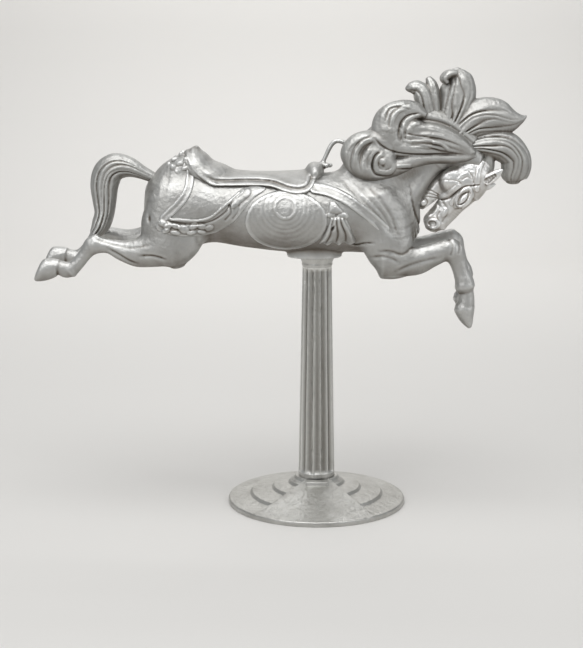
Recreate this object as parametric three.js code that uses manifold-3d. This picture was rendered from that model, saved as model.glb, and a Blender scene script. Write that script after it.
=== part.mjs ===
// A leaping carousel horse, cast in one piece, on a fluted pillar with a round stepped foot.
// Millimetres, +Z up, +X towards the horse's head, -Y is the decorated side of the horse.
// The origin is on the ground, under the middle of the pillar.

import * as THREE from "three";
import { mergeVertices } from "three/addons/utils/BufferGeometryUtils.js";
import Module from "manifold-3d";

const wasm = await Module();
wasm.setup();

// ---------------------------------------------------------------- driving dimensions

const SEAT_GAP = 0.3;            // clearance between pieces that rest on each other
const BASE_RADIUS = 264;         // foot plate
const BASE_RIM = 15;             // thickness of the foot plate at its rim
const BASE_TOP = 80;             // height of the flat seat that carries the pillar
const BASE_STEPS = [             // each ring of the foot: outer radius, top of its outer edge
  [196, 33],
  [131, 50],
  [82, 66],
];
const STEP_RISE = 10;
const SEAT_RADIUS = 66;

const BELLY_HEIGHT = 740;        // underside of the horse's belly boss
const PILLAR_FLUTES = 14;
const PILLAR_FOOT_RADIUS = 54;
const PILLAR_NECK_RADIUS = 43;
const PILLAR_CAP_RADIUS = 50;
const FLUTE_DEPTH = 5;
const FLUTE_FOOT = 96;           // where the flutes begin and end
const FLUTE_HEAD = 708;

const SKIRT_PROUD = 9;           // how far the harness stands off the horse's body
const SADDLE_PROUD = 15;
const PANEL_PROUD = 8;
const STRAP_PROUD = 9;
const RING_PROUD = 12;
const SWAG_PROUD = 15;
const SLIVER = 0.8;              // faces thinner than this are merged into their neighbours

// ---------------------------------------------------------------- helpers

// Catmull-Rom through every column of a list of rows, with `steps` rows for each stretch.
function smooth(rows, steps) {
  const out = [];
  const last = rows.length - 1;
  for (let i = 0; i < last; i += 1) {
    const a = rows[Math.max(i - 1, 0)];
    const b = rows[i];
    const c = rows[i + 1];
    const d = rows[Math.min(i + 2, last)];
    for (let k = 0; k < steps; k += 1) {
      const t = k / steps;
      out.push(b.map((value, j) => 0.5 * (2 * value + (c[j] - a[j]) * t
        + (2 * a[j] - 5 * value + 4 * c[j] - d[j]) * t * t
        + (3 * value - a[j] - 3 * c[j] + d[j]) * t * t * t)));
    }
  }
  out.push([...rows[last]]);
  return out;
}

// A closed solid from three.js geometry.
function solidOf(geometry) {
  const bare = geometry.clone();
  for (const name of Object.keys(bare.attributes)) {
    if (name !== "position") bare.deleteAttribute(name);
  }
  const merged = mergeVertices(bare, 1e-4);
  return new wasm.Manifold(new wasm.Mesh({
    numProp: 3,
    vertProperties: new Float32Array(merged.attributes.position.array),
    triVerts: new Uint32Array(merged.index.array),
  }));
}

// The outer skin of a joined solid: pockets shut in between crossing parts are solid metal, and
// slivers thinner than SLIVER are merged into their neighbours.
function geometryOf(solid) {
  const mesh = solid.simplify(SLIVER).getMesh();
  const count = mesh.vertProperties.length / 3;
  const root = Array.from({ length: count }, (_, i) => i);
  const find = (i) => {
    let top = i;
    while (root[top] !== top) top = root[top];
    root[i] = top;
    return top;
  };
  for (let i = 0; i < mesh.triVerts.length; i += 3) {
    root[find(mesh.triVerts[i])] = find(mesh.triVerts[i + 1]);
    root[find(mesh.triVerts[i + 1])] = find(mesh.triVerts[i + 2]);
  }
  const shells = new Map();
  for (let i = 0; i < mesh.triVerts.length; i += 3) {
    const shell = find(mesh.triVerts[i]);
    if (!shells.has(shell)) shells.set(shell, []);
    shells.get(shell).push(...mesh.triVerts.subarray(i, i + 3));
  }
  const outer = [...shells.values()].reduce((a, b) => (a.length > b.length ? a : b));
  const geometry = new THREE.BufferGeometry();
  geometry.setAttribute("position", new THREE.BufferAttribute(mesh.vertProperties, 3));
  geometry.setIndex(outer);
  return geometry.toNonIndexed();
}

const joined = (solids) => solids.reduce((sum, solid) => sum.add(solid));

// A solid through closed rings of points, all with the same number of points.
function skin(rings) {
  const sides = rings[0].length;
  const points = rings.flat();
  const faces = [];
  for (let i = 0; i + 1 < rings.length; i += 1) {
    for (let k = 0; k < sides; k += 1) {
      const a = i * sides + k;
      const b = i * sides + (k + 1) % sides;
      faces.push(a, b, b + sides, a, b + sides, a + sides);
    }
  }
  for (const [ring, turned] of [[0, true], [rings.length - 1, false]]) {
    const middle = new THREE.Vector3();
    rings[ring].forEach((point) => middle.addScaledVector(point, 1 / sides));
    points.push(middle);
    for (let k = 0; k < sides; k += 1) {
      const a = ring * sides + k;
      const b = ring * sides + (k + 1) % sides;
      faces.push(...(turned ? [b, a, points.length - 1] : [a, b, points.length - 1]));
    }
  }
  const geometry = new THREE.BufferGeometry().setFromPoints(points);
  geometry.setIndex(faces);
  const solid = solidOf(geometry);
  if (solid.volume() > 0) return solid;
  geometry.setIndex(faces.reverse());
  return solidOf(geometry);
}

// A limb is an oval tube along a spine that lies about in the XZ plane.
// Each row: x, z, half size across the spine, half thickness in Y, and y of the spine.
// `grooves` cuts that many hollows round the section, as between strands of hair.
function limb(rows, { sides = 12, steps = 2, grooves = 0, depth = 0.2, swell = 0 } = {}) {
  const path = smooth(rows, steps);
  const rings = path.map(([x, z, across, thick, y], i) => {
    const before = path[Math.max(i - 1, 0)];
    const after = path[Math.min(i + 1, path.length - 1)];
    const way = new THREE.Vector2(after[0] - before[0], after[1] - before[1]).normalize();
    const ring = [];
    for (let k = 0; k < sides; k += 1) {
      const turn = 2 * Math.PI * k / sides;
      const wave = grooves ? 1 - depth * 0.5 * (1 - Math.cos(grooves * turn)) : 1;
      const u = (Math.max(across, 1) + swell) * wave * Math.cos(turn);
      const v = (Math.max(thick, 1) + swell) * wave * Math.sin(turn);
      ring.push(new THREE.Vector3(x - way.y * u, y + v, z + way.x * u));
    }
    return ring;
  });
  return skin(rings);
}

// An egg: centre, then half sizes, turned about Y by `turn` radians.
function egg(x, y, z, rx, ry, rz, turn = 0) {
  const shape = new THREE.SphereGeometry(1, 8, 4);
  shape.rotateX(Math.PI / 2);
  shape.scale(rx, ry, rz);
  shape.rotateY(turn);
  shape.translate(x, y, z);
  return solidOf(shape);
}

// The prism of a side-view outline in X and Z, from y = near to y = far.
function prism(outline, near, far) {
  const shape = new THREE.Shape(outline.map(([x, z]) => new THREE.Vector2(x, z)));
  const block = new THREE.ExtrudeGeometry(shape, { depth: far - near, bevelEnabled: false });
  block.rotateX(Math.PI / 2);
  block.translate(0, far, 0);
  return solidOf(block);
}

// The outline of a strap of a given width that follows a line of points.
function strap(line, width) {
  const left = [];
  const right = [];
  line.forEach(([x, z], i) => {
    const before = line[Math.max(i - 1, 0)];
    const after = line[Math.min(i + 1, line.length - 1)];
    const way = new THREE.Vector2(after[0] - before[0], after[1] - before[1]).normalize();
    left.push([x - way.y * width / 2, z + way.x * width / 2]);
    right.push([x + way.y * width / 2, z - way.x * width / 2]);
  });
  return [...left, ...right.reverse()];
}

function oval(x, z, rx, rz, sides = 16) {
  return Array.from({ length: sides }, (_, k) => {
    const turn = 2 * Math.PI * k / sides;
    return [x + rx * Math.cos(turn), z + rz * Math.sin(turn)];
  });
}

// ---------------------------------------------------------------- the horse's body

const TORSO = [                  // x, middle z, half height, half width, y
  [-500, 893, 30, 30, 0],
  [-488, 895, 78, 70, 0],
  [-460, 893, 100, 98, 0],
  [-420, 890, 117, 116, 0],
  [-360, 890, 120, 124, 0],
  [-290, 886, 104, 126, 0],
  [-200, 874, 106, 129, 0],
  [-100, 868, 112, 131, 0],
  [0, 868, 117, 130, 0],
  [80, 872, 118, 127, 0],
  [150, 872, 120, 118, 0],
  [210, 866, 112, 104, 0],
  [250, 862, 98, 84, 0],
  [275, 862, 76, 58, 0],
  [284, 864, 30, 24, 0],
];

const torso = (swell = 0) => limb(TORSO, { sides: 18, steps: 1, swell });

const NECK = [                   // x, z, half depth, half width, y
  [110, 925, 70, 84, 0],
  [165, 985, 98, 80, 0],
  [225, 1035, 98, 68, 0],
  [290, 1056, 84, 58, 0],
  [350, 1056, 64, 52, 0],
  [410, 1042, 50, 48, 0],
  [462, 1018, 34, 42, 0],
];

const THROAT = [                 // the front of the neck, which meets the chin
  [240, 880, 50, 56, 0],
  [262, 915, 42, 52, 0],
  [290, 950, 32, 46, 0],
  [318, 985, 28, 42, 0],
  [338, 1010, 26, 40, 0],
];

// Head coordinates: s runs from the poll to the muzzle, t towards the front of the face.
const POLL = [475, 1000];
const HEAD_WAY = [-0.671, -0.741];
function headPoint(s, t) {
  return [POLL[0] + s * HEAD_WAY[0] - t * HEAD_WAY[1], POLL[1] + s * HEAD_WAY[1] + t * HEAD_WAY[0]];
}
const headRows = (rows) => rows.map(([s, t, deep, wide, y = 0]) => [...headPoint(s, t), deep, wide, y]);

const SKULL = [                  // s, t, half depth, half width
  [-14, -4, 34, 30],
  [10, -6, 56, 44],
  [45, -10, 68, 52],
  [85, -12, 69, 52],
  [120, -3, 56, 42],
  [155, 7, 40, 34],
  [190, 8, 37, 31],
  [212, 8, 35, 32],
  [228, 10, 17, 17],
];
const JAW = [
  [95, -42, 28, 30],
  [135, -49, 18, 26],
  [168, -52, 15, 24],
  [190, -50, 14, 20],
  [199, -47, 7, 10],
];

const EARS = [                   // the near ear is laid back, the far one points forward
  [[14, 12, 15, 12, -30], [-4, 28, 15, 12, -36], [-18, 42, 10, 8, -40], [-27, 52, 2, 2, -42]],
  [[46, 40, 12, 12, 34], [30, 54, 13, 12, 38], [17, 64, 9, 8, 40], [6, 71, 2, 2, 41]],
];

function head() {
  const parts = [
    limb(headRows(SKULL), { sides: 10, steps: 1 }),
    limb(headRows(JAW), { sides: 8, steps: 1 }),
  ];
  for (const ear of EARS) parts.push(limb(headRows(ear), { sides: 6, steps: 1 }));
  for (const side of [-1, 1]) {
    parts.push(egg(...eggAt(102, 20, side * 42), 22, 10, 15, 0.83));   // brow and eye
    parts.push(egg(...eggAt(208, 12, side * 27), 16, 10, 14, 0.83));   // nostril
    parts.push(egg(...eggAt(86, -42, side * 40), 34, 16, 34, 0));      // cheek
  }
  return joined(parts);
}
function eggAt(s, t, y) {
  const [x, z] = headPoint(s, t);
  return [x, y, z];
}

// ---------------------------------------------------------------- legs

const LEG_SPREAD = 77;
const THIGH = [                  // x, z, half depth, half width
  [-432, 915, 50, 30],
  [-426, 860, 82, 44],
  [-412, 800, 88, 49],
  [-405, 750, 64, 44],
  [-400, 718, 22, 22],
];
const GASKIN = [
  [-420, 775, 52, 42],
  [-480, 768, 49, 40],
  [-520, 763, 42, 36],
  [-560, 768, 30, 28],
  [-600, 781, 21, 22],
  [-640, 784, 25, 22],
  [-658, 786, 16, 14],
];
const HIND_CANNON = [
  [-628, 806, 14, 14],
  [-645, 786, 25, 21],
  [-668, 757, 20, 17],
  [-692, 728, 20, 17],
  [-712, 710, 24, 21],
];
const HIND_FOOT = [
  [-700, 713, 20, 18],
  [-722, 712, 24, 21],
  [-745, 720, 22, 21],
  [-753, 719, 26, 24],
  [-785, 714, 30, 27],
  [-825, 711, 30, 29],
];
const HIND_TOE = [-816, 683];    // a point of the sole, and the way the sole faces into the hoof
const HIND_SOLE_WAY = [0.914, -0.405];
const FAR_HIND = [18, 26];       // how far the far hind leg is ahead of and above the near one

const SHOULDER = [
  [160, 920, 46, 30],
  [178, 860, 74, 42],
  [200, 790, 74, 48],
  [212, 735, 58, 44],
  [214, 698, 36, 30],
];
const FOREARM = [
  [190, 738, 50, 42],
  [240, 735, 43, 38],
  [285, 739, 42, 34],
  [325, 754, 36, 30],
  [360, 767, 32, 28],
  [392, 774, 30, 27],
  [408, 776, 14, 14],
];
const FORE_CANNON = [
  [376, 790, 22, 20],
  [390, 766, 33, 28],
  [403, 736, 26, 22],
  [413, 706, 24, 20],
  [422, 682, 28, 24],
  [425, 662, 30, 27],
  [427, 652, 25, 23],
];
const FORE_FOOT = [
  [427, 656, 22, 20],
  [430, 640, 23, 21],
  [429, 616, 26, 24],
  [424, 598, 31, 28],
  [430, 576, 23, 26],
  [437, 556, 14, 20],
  [441, 543, 6, 10],
];
const FAR_FORE = [14, 8];

function leg(rows, side, shift, options) {
  const [dx, dz] = side > 0 ? shift : [0, 0];
  const moved = rows.map(([x, z, deep, wide]) => [x + dx, z + dz, deep, wide, side * LEG_SPREAD]);
  return limb(moved, options);
}
function legs() {
  const parts = [];
  for (const side of [-1, 1]) {
    for (const rows of [THIGH, GASKIN, HIND_CANNON]) {
      parts.push(leg(rows, side, FAR_HIND, { sides: 8, steps: 1 }));
    }
    const [dx, dz] = side > 0 ? FAR_HIND : [0, 0];
    const [nx, nz] = HIND_SOLE_WAY;
    const hoof = leg(HIND_FOOT, side, FAR_HIND, { sides: 8, steps: 1 });
    parts.push(hoof.trimByPlane([nx, 0, nz], nx * (HIND_TOE[0] + dx) + nz * (HIND_TOE[1] + dz)));
    for (const rows of [SHOULDER, FOREARM, FORE_CANNON, FORE_FOOT]) {
      parts.push(leg(rows, side, FAR_FORE, { sides: 8, steps: 1 }));
    }
  }
  return joined(parts);
}

// ---------------------------------------------------------------- mane, forelock and tail

// A curl is an open ring of hair: centre, half width and height of its middle line, first and
// last angle in degrees (counter-clockwise from +X), greatest half breadth, y and thickness.
function curl({ at, size, from, to, breadth, y, thick, tips = [0.3, 0.25] }) {
  const rows = [];
  const count = 7;
  for (let i = 0; i <= count; i += 1) {
    const share = i / count;
    const turn = THREE.MathUtils.degToRad(from + (to - from) * share);
    const taper = Math.min(1, tips[0] + share * 3, tips[1] + (1 - share) * 3);
    rows.push([
      at[0] + size[0] * Math.cos(turn),
      at[1] + size[1] * Math.sin(turn),
      breadth * taper,
      thick * (0.6 + 0.4 * taper),
      y,
    ]);
  }
  return rows;
}

const HAIR = { sides: 12, steps: 1, grooves: 6, depth: 0.3 };
const PLAIN_HAIR = { sides: 8, steps: 1 };

const SHOULDER_CURL = curl({
  at: [166, 1038], size: [70, 44], from: 70, to: 292, breadth: 30, y: -66, thick: 34,
});
const NECK_CURL = curl({
  at: [247, 1116], size: [70, 54], from: 66, to: 292, breadth: 28, y: -52, thick: 34,
});
const TOP_LOCKS = [              // x, z, half breadth, half thickness, y
  [[255, 1090, 14, 24, -46], [300, 1104, 34, 34, -40], [360, 1094, 40, 36, -36], [415, 1068, 28, 30, -34],
    [445, 1048, 8, 16, -36]],
  [[318, 1130, 28, 40, 0], [308, 1180, 28, 38, -6], [298, 1216, 26, 34, -8], [276, 1236, 16, 26, -8],
    [252, 1228, 5, 10, -8]],
  [[334, 1140, 24, 38, 4], [332, 1195, 22, 36, 4], [326, 1236, 19, 30, 4], [314, 1261, 7, 12, 4]],
  [[372, 1100, 34, 44, 0], [390, 1155, 46, 44, 2], [401, 1205, 54, 42, 4], [401, 1240, 50, 36, 4],
    [394, 1264, 38, 26, 4], [388, 1279, 18, 10, 4]],
  [[405, 1100, 40, 44, 0], [450, 1136, 56, 44, 0], [500, 1147, 55, 40, 0], [550, 1139, 37, 32, 0],
    [582, 1139, 16, 20, 0], [601, 1147, 3, 6, 0]],
  [[435, 1060, 16, 36, 0], [488, 1062, 30, 44, 0], [542, 1056, 42, 46, 0], [572, 1030, 44, 44, 0],
    [577, 1000, 43, 40, 0], [570, 973, 35, 30, 0], [565, 956, 18, 12, 0]],
  [[462, 1040, 14, 26, -20], [400, 1050, 20, 30, -40], [330, 1055, 24, 34, -48], [270, 1058, 20, 30, -54]],
];
const FAR_LOCKS = [
  [[300, 1130, 16, 24, 36], [230, 1120, 32, 30, 48], [175, 1085, 34, 30, 58], [130, 1040, 28, 26, 66],
    [104, 1005, 8, 12, 72]],
  [[400, 1100, 16, 24, 34], [345, 1090, 32, 30, 42], [290, 1058, 32, 28, 50], [250, 1020, 24, 24, 58],
    [228, 990, 6, 10, 64]],
];
const CREST = [[120, 1010, 36, 40, 0], [165, 1060, 44, 46, 0], [220, 1112, 46, 50, 0], [290, 1140, 40, 50, 0],
  [370, 1122, 38, 46, 0], [440, 1072, 34, 42, 0]];
const ROSETTE = [195, 1021, 22];

const TAIL = [
  [-470, 950, 20, 20, 0],
  [-508, 982, 26, 27, 0],
  [-545, 1000, 33, 32, 0],
  [-580, 1002, 40, 36, 0],
  [-606, 984, 43, 38, 0],
  [-617, 950, 41, 39, 0],
  [-618, 905, 35, 41, 0],
  [-619, 868, 29, 46, 0],
  [-630, 834, 27, 56, 0],
  [-646, 806, 18, 60, 0],
];

function hair() {
  const parts = [
    limb(CREST, PLAIN_HAIR),
    limb(SHOULDER_CURL, HAIR),
    limb(NECK_CURL, HAIR),
    limb(TAIL, HAIR),
    egg(ROSETTE[0], -78, ROSETTE[1], ROSETTE[2], 24, ROSETTE[2]),
  ];
  for (const rows of TOP_LOCKS) parts.push(limb(rows, HAIR));
  for (const rows of FAR_LOCKS) parts.push(limb(rows, PLAIN_HAIR));
  return joined(parts);
}

// ---------------------------------------------------------------- saddle and harness

const SKIRT = [                  // side-view edge of the saddle's skirt, from cantle to pommel
  [-372, 1100], [-366, 1020], [-348, 985], [-322, 962], [-280, 952], [-200, 953], [-135, 951],
  [-92, 938], [-60, 932], [-30, 937], [-12, 952], [-2, 975], [4, 1030], [4, 1100],
];
const SEAT_PAD = [
  [-360, 1100], [-352, 1030], [-334, 1000], [-310, 982], [-270, 972], [-200, 970], [-130, 968],
  [-84, 954], [-56, 950], [-34, 956], [-22, 970], [-14, 1000], [-10, 1100],
];
const MEDALLION = [-90, 858, 118, 84];          // x, z, half sizes of the oval panel
const RING_CENTRE = [-93, 882];
const RINGS = [[27, 34], [52, 60]];             // inner and outer radius of each raised ring
const HIP_STRAP = [[-362, 985], [-368, 945], [-392, 905], [-436, 862]];
const SWAG = [[-452, 852], [-400, 860], [-345, 857], [-305, 868], [-268, 898], [-222, 946]];
const FLANK_STRAP = [[-150, 945], [-186, 915], [-212, 882], [-232, 848]];
const BREAST_STRAP = [[-8, 932], [50, 912], [100, 886], [150, 850], [186, 812]];
const TASSEL = [[36, 905], [76, 878], [92, 850], [112, 800], [110, 770], [34, 768], [6, 800], [26, 862]];
const FRINGE = [[-448, 846], [-350, 848], [-352, 822], [-400, 806], [-452, 824]];

// A raised shape of the harness: the horse's body grown by `proud`, kept inside the outline.
function raised(outline, proud, near = -220, far = 220) {
  return torso(proud).intersect(prism(outline, near, far));
}

function harness() {
  const near = [-220, -20];
  const parts = [
    raised(SKIRT, SKIRT_PROUD),
    raised(SEAT_PAD, SADDLE_PROUD),
    raised(oval(...MEDALLION), PANEL_PROUD, ...near),
    raised(strap(HIP_STRAP, 26), STRAP_PROUD, ...near),
    raised(strap(SWAG, 22), SWAG_PROUD, ...near),
    raised(strap(FLANK_STRAP, 24), STRAP_PROUD, ...near),
    raised(strap(BREAST_STRAP, 26), STRAP_PROUD),
    raised(TASSEL, STRAP_PROUD, ...near),
    raised(FRINGE, STRAP_PROUD, ...near),
    egg(-352, 0, 1002, 52, 88, 55),                          // cantle
    egg(-6, 0, 985, 30, 70, 33),                             // pommel
    limb([[14, 1010, 7, 7, 0], [34, 1052, 7, 7, 0], [52, 1075, 7, 7, 0], [86, 1066, 7, 7, 0]],
      { sides: 6 }),                                         // handle
    egg(16, 0, 1008, 16, 18, 12),
  ];
  for (const side of [-1, 1]) parts.push(egg(-408, side * 44, 1010, 22, 24, 24));
  for (const [inner, outer] of RINGS) {
    const disc = raised(oval(...RING_CENTRE, outer, outer), RING_PROUD, ...near);
    parts.push(disc.subtract(prism(oval(...RING_CENTRE, inner, inner), ...near)));
  }
  return joined(parts);
}

// The flat-bottomed boss under the belly, where the pillar bears.
function bellyBoss() {
  const profile = [[0, 0], [74, 0], [82, 8], [82, 60], [0, 60]];
  const boss = new THREE.LatheGeometry(profile.map(([r, z]) => new THREE.Vector2(r, z)), 16);
  boss.rotateX(Math.PI / 2);
  boss.scale(1, 0.8, 1);
  boss.translate(-8, 0, BELLY_HEIGHT);
  return solidOf(boss);
}

function horse() {
  const neck = limb(NECK, { sides: 12, steps: 1 });
  const throat = limb(THROAT, { sides: 8, steps: 1 });
  return joined([torso(), neck, throat, head(), legs(), hair(), harness(), bellyBoss()]);
}

// ---------------------------------------------------------------- stand

// The pillar: plain bands at its foot and head, hollow flutes between them, and a cap.
function pillar() {
  const perFlute = 3;
  const sides = PILLAR_FLUTES * perFlute;
  const top = BELLY_HEIGHT - SEAT_GAP;
  const foot = BASE_TOP + SEAT_GAP;
  const taper = (z) => THREE.MathUtils.mapLinear(z, foot, FLUTE_HEAD, PILLAR_FOOT_RADIUS, PILLAR_NECK_RADIUS);
  const levels = [               // z, radius, share of the full flute depth
    [foot, taper(foot), 0],
    [FLUTE_FOOT - 4, taper(FLUTE_FOOT), 0],
    [FLUTE_FOOT + 8, taper(FLUTE_FOOT), 1],
    [FLUTE_HEAD - 8, taper(FLUTE_HEAD), 1],
    [FLUTE_HEAD + 4, taper(FLUTE_HEAD), 0],
    [top - 20, PILLAR_NECK_RADIUS + 3, 0],
    [top - 7, PILLAR_CAP_RADIUS, 0],
    [top, PILLAR_CAP_RADIUS, 0],
  ];
  const rings = levels.map(([z, radius, share]) => Array.from({ length: sides }, (_, k) => {
    const turn = 2 * Math.PI * k / sides;
    const hollow = Math.abs(Math.sin(Math.PI * k / perFlute));
    const r = radius - share * FLUTE_DEPTH * hollow;
    return new THREE.Vector3(r * Math.cos(turn), r * Math.sin(turn), z);
  }));
  return skin(rings);
}

// The foot plate: a lathe-turned stack of low rings, with a ramp and a small block in front.
function base() {
  const profile = [[0, 0], [BASE_RADIUS, 0], [BASE_RADIUS, BASE_RIM - 5], [BASE_RADIUS - 6, BASE_RIM]];
  for (const [radius, top] of BASE_STEPS) {
    profile.push([radius + 2, top - STEP_RISE], [radius - 2, top]);
  }
  profile.push([SEAT_RADIUS + 2, BASE_TOP - 8], [SEAT_RADIUS, BASE_TOP], [0, BASE_TOP]);
  const plate = new THREE.LatheGeometry(profile.map(([r, z]) => new THREE.Vector2(r, z)), 32);
  plate.rotateX(Math.PI / 2);
  const cone = new THREE.LatheGeometry([
    [0, 1], [BASE_RADIUS - 7, 1], [BASE_RADIUS - 7, BASE_RIM], [SEAT_RADIUS, BASE_TOP - 3], [0, BASE_TOP - 3],
  ].map(([r, z]) => new THREE.Vector2(r, z)), 32);
  cone.rotateX(Math.PI / 2);
  const rampPlan = new THREE.Shape([[-22, -40], [-182, -190], [-182, -262], [170, -262], [170, -205], [34, -40]]
    .map(([x, y]) => new THREE.Vector2(x, y)));
  const sector = new THREE.ExtrudeGeometry(rampPlan, { depth: BASE_TOP, bevelEnabled: false });
  const ramp = solidOf(cone).intersect(solidOf(sector));
  const block = new THREE.BoxGeometry(60, 16, 34);
  block.translate(-3, -70, BASE_TOP - 18);
  return joined([solidOf(plate), ramp, solidOf(block)]);
}

// ---------------------------------------------------------------- scene graph

const CAST_ALUMINIUM = { color: 0xb4b5b0, roughness: 0.34, metalness: 1 };
const SAND_CAST_ALUMINIUM = { color: 0x9a9b96, roughness: 0.5, metalness: 1 };

function part(name, solid, finish) {
  const mesh = new THREE.Mesh(geometryOf(solid), new THREE.MeshStandardMaterial(finish));
  mesh.name = name;
  return mesh;
}

const group = new THREE.Group();
group.add(part("horse", horse(), CAST_ALUMINIUM));
group.add(part("pillar", pillar(), SAND_CAST_ALUMINIUM));
group.add(part("base", base(), SAND_CAST_ALUMINIUM));

export default group;
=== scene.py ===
# %% [markdown]
# # A cast aluminium carousel horse
# The horse with its mane, tail, saddle and harness is one metal casting. It leaps over a fluted
# pillar that stands on a round stepped foot. A plain solid of each casting gives the sizes here,
# and all that is seen is modelled round it. Sizes are in millimetres, as a pattern maker would
# write them, and are turned into metres when a mesh is made.

# %% Load the frame
import math

import bmesh
import bpy
import numpy as np
import openvdb
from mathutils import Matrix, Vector


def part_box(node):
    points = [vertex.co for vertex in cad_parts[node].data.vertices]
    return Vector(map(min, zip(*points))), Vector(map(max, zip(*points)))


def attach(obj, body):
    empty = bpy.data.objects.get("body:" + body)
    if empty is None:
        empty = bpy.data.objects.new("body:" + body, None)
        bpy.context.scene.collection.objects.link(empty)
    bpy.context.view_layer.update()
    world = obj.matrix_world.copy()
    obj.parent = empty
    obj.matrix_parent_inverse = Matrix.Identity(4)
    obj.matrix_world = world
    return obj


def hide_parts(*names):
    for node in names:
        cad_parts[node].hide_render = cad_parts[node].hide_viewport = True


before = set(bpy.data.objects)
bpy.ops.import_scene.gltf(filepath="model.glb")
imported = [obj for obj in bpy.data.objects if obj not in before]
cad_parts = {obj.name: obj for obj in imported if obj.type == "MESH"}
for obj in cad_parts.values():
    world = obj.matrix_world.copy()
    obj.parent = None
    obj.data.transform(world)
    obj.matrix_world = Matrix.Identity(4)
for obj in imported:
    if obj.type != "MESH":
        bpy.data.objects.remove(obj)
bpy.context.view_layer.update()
MM = 0.001
BODY = "root"
print("frame nodes:", sorted(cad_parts))

# %% [markdown]
# A carved figure has no edges to extrude from, so it is built the way a modeller works in clay:
# lumps are laid on each other and smoothed together. Each lump is a distance field, a block of
# numbers that say how far each point is from the lump's surface. Fields join softly with a
# smooth minimum, which gives the fillets that every casting has. Polygon modelling would give
# cleaner loops, but not this many blended limbs and locks of hair.

# %% Smooth rows and soft joins
def smooth_rows(rows, steps):
    """Catmull-Rom through every column of a list of rows."""
    rows = np.asarray(rows, float)
    before = np.vstack([rows[:1], rows[:-1]])[:-1]
    after = np.vstack([rows[1:], rows[-1:]])[1:]
    here, there = rows[:-1], rows[1:]
    out = []
    for t in np.arange(steps) / steps:
        out.append(0.5 * (2 * here + (there - before) * t
                          + (2 * before - 5 * here + 4 * there - after) * t * t
                          + (3 * here - before - 3 * there + after) * t ** 3))
    path = np.stack(out, axis=1).reshape(-1, rows.shape[1])
    return np.vstack([path, rows[-1:]])


def soft_min(a, b, melt):
    """The smaller of two distances, with a fillet about `melt` wide where they meet."""
    share = np.clip(0.5 + 0.5 * (b - a) / melt, 0, 1)
    return b + (a - b) * share - melt * share * (1 - share)


def soft_max(a, b, melt):
    return -soft_min(-a, -b, melt)


def soft_step(low, high, value):
    t = np.clip((value - low) / (high - low), 0, 1)
    return t * t * (3 - 2 * t)
print("6 mm of melt between two lumps that touch lays on", -soft_min(0.0, 0.0, 6.0), "mm")

# %% [markdown]
# The block is a plain grid. Only the part near a new lump is worked on, which keeps modelling
# quick. Relief is laid on from the side: a height at each x and z, times a share at each y, so
# a strap can lie on one flank alone.

# %% The block of clay
class Clay:
    """A block of signed distances in millimetres, from `low` to `high`, on a cubic grid."""

    def __init__(self, low, high, grain):
        self.grain = grain
        self.x, self.y, self.z = (np.arange(a, b + grain, grain, dtype=np.float32)
                                  for a, b in zip(low, high))
        self.field = np.full((len(self.x), len(self.y), len(self.z)), 60.0, np.float32)

    def window(self, low, high):
        """The slices of the block that hold a box, and its axes."""
        cut = []
        for axis, a, b in zip((self.x, self.y, self.z), low, high):
            first = int(np.clip(np.searchsorted(axis, a) - 1, 0, len(axis) - 1))
            last = int(np.clip(np.searchsorted(axis, b) + 1, first + 1, len(axis)))
            cut.append(slice(first, last))
        return tuple(cut), self.x[cut[0]], self.y[cut[1]], self.z[cut[2]]

    def add(self, cut, distance, melt):
        self.field[cut] = soft_min(distance.astype(np.float32), self.field[cut], melt)

    def swell(self, height, share):
        """Lays on relief: height[x, z] in millimetres, times a share for each y."""
        self.field -= height[:, None, :] * share[None, :, None]

    def plan(self):
        """The block's x and z as two flat arrays, for drawing in side view."""
        return np.meshgrid(self.x, self.z, indexing="ij")

# %% [markdown]
# Nearly all of a horse is limbs: a spine seen from the side, with the half depth and the half
# width of the flesh at each station. To lay one, each point of the block has to know how far it
# is across the spine, past its ends and along it.

# %% Places along a spine
def along_spine(path, x, z):
    """For points of the XZ plane: offset across the spine, overshoot past its ends, and the
    spine's half sizes, y and travelled length there."""
    px, pz = np.meshgrid(x, z, indexing="ij")
    nearest = np.full(px.shape, np.inf)
    across, along = np.zeros(px.shape), np.zeros(px.shape)
    wide, thick, middle, travel = (np.ones(px.shape) for _ in range(4))
    length = 0.0
    last = len(path) - 2
    for i in range(last + 1):
        a, b = path[i], path[i + 1]
        step = b[:2] - a[:2]
        size = max(float(np.hypot(*step)), 1e-6)
        way = step / size
        s = (px - a[0]) * way[0] + (pz - a[1]) * way[1]
        n = (pz - a[1]) * way[0] - (px - a[0]) * way[1]
        t = np.clip(s / size, 0, 1)
        over = s - t * size
        gap = n ** 2 + over ** 2
        closer = gap < nearest
        nearest = np.where(closer, gap, nearest)
        outside = ((i == 0) & (s < 0)) | ((i == last) & (s > size))
        whole = np.sqrt(gap) * np.where(n < 0, -1, 1)
        across = np.where(closer, np.where(outside, n, whole), across)
        along = np.where(closer, np.where(outside, over, 0.0), along)
        for values, column in ((wide, 2), (thick, 3), (middle, 4)):
            values[closer] = (a[column] + (b[column] - a[column]) * t)[closer]
        travel[closer] = (length + t * size)[closer]
        length += size
    return across, along, wide, thick, middle, travel / max(length, 1e-6)

# %% [markdown]
# A lock of hair is a limb whose thickness dips in grooves that run from its root to its tip. The
# grooves wander a little and differ in depth, as a carver's gouge leaves them.

# %% Lay a limb
SOLE_EDGE = 16                  # how softly the sole of a hoof turns into its wall


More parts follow.
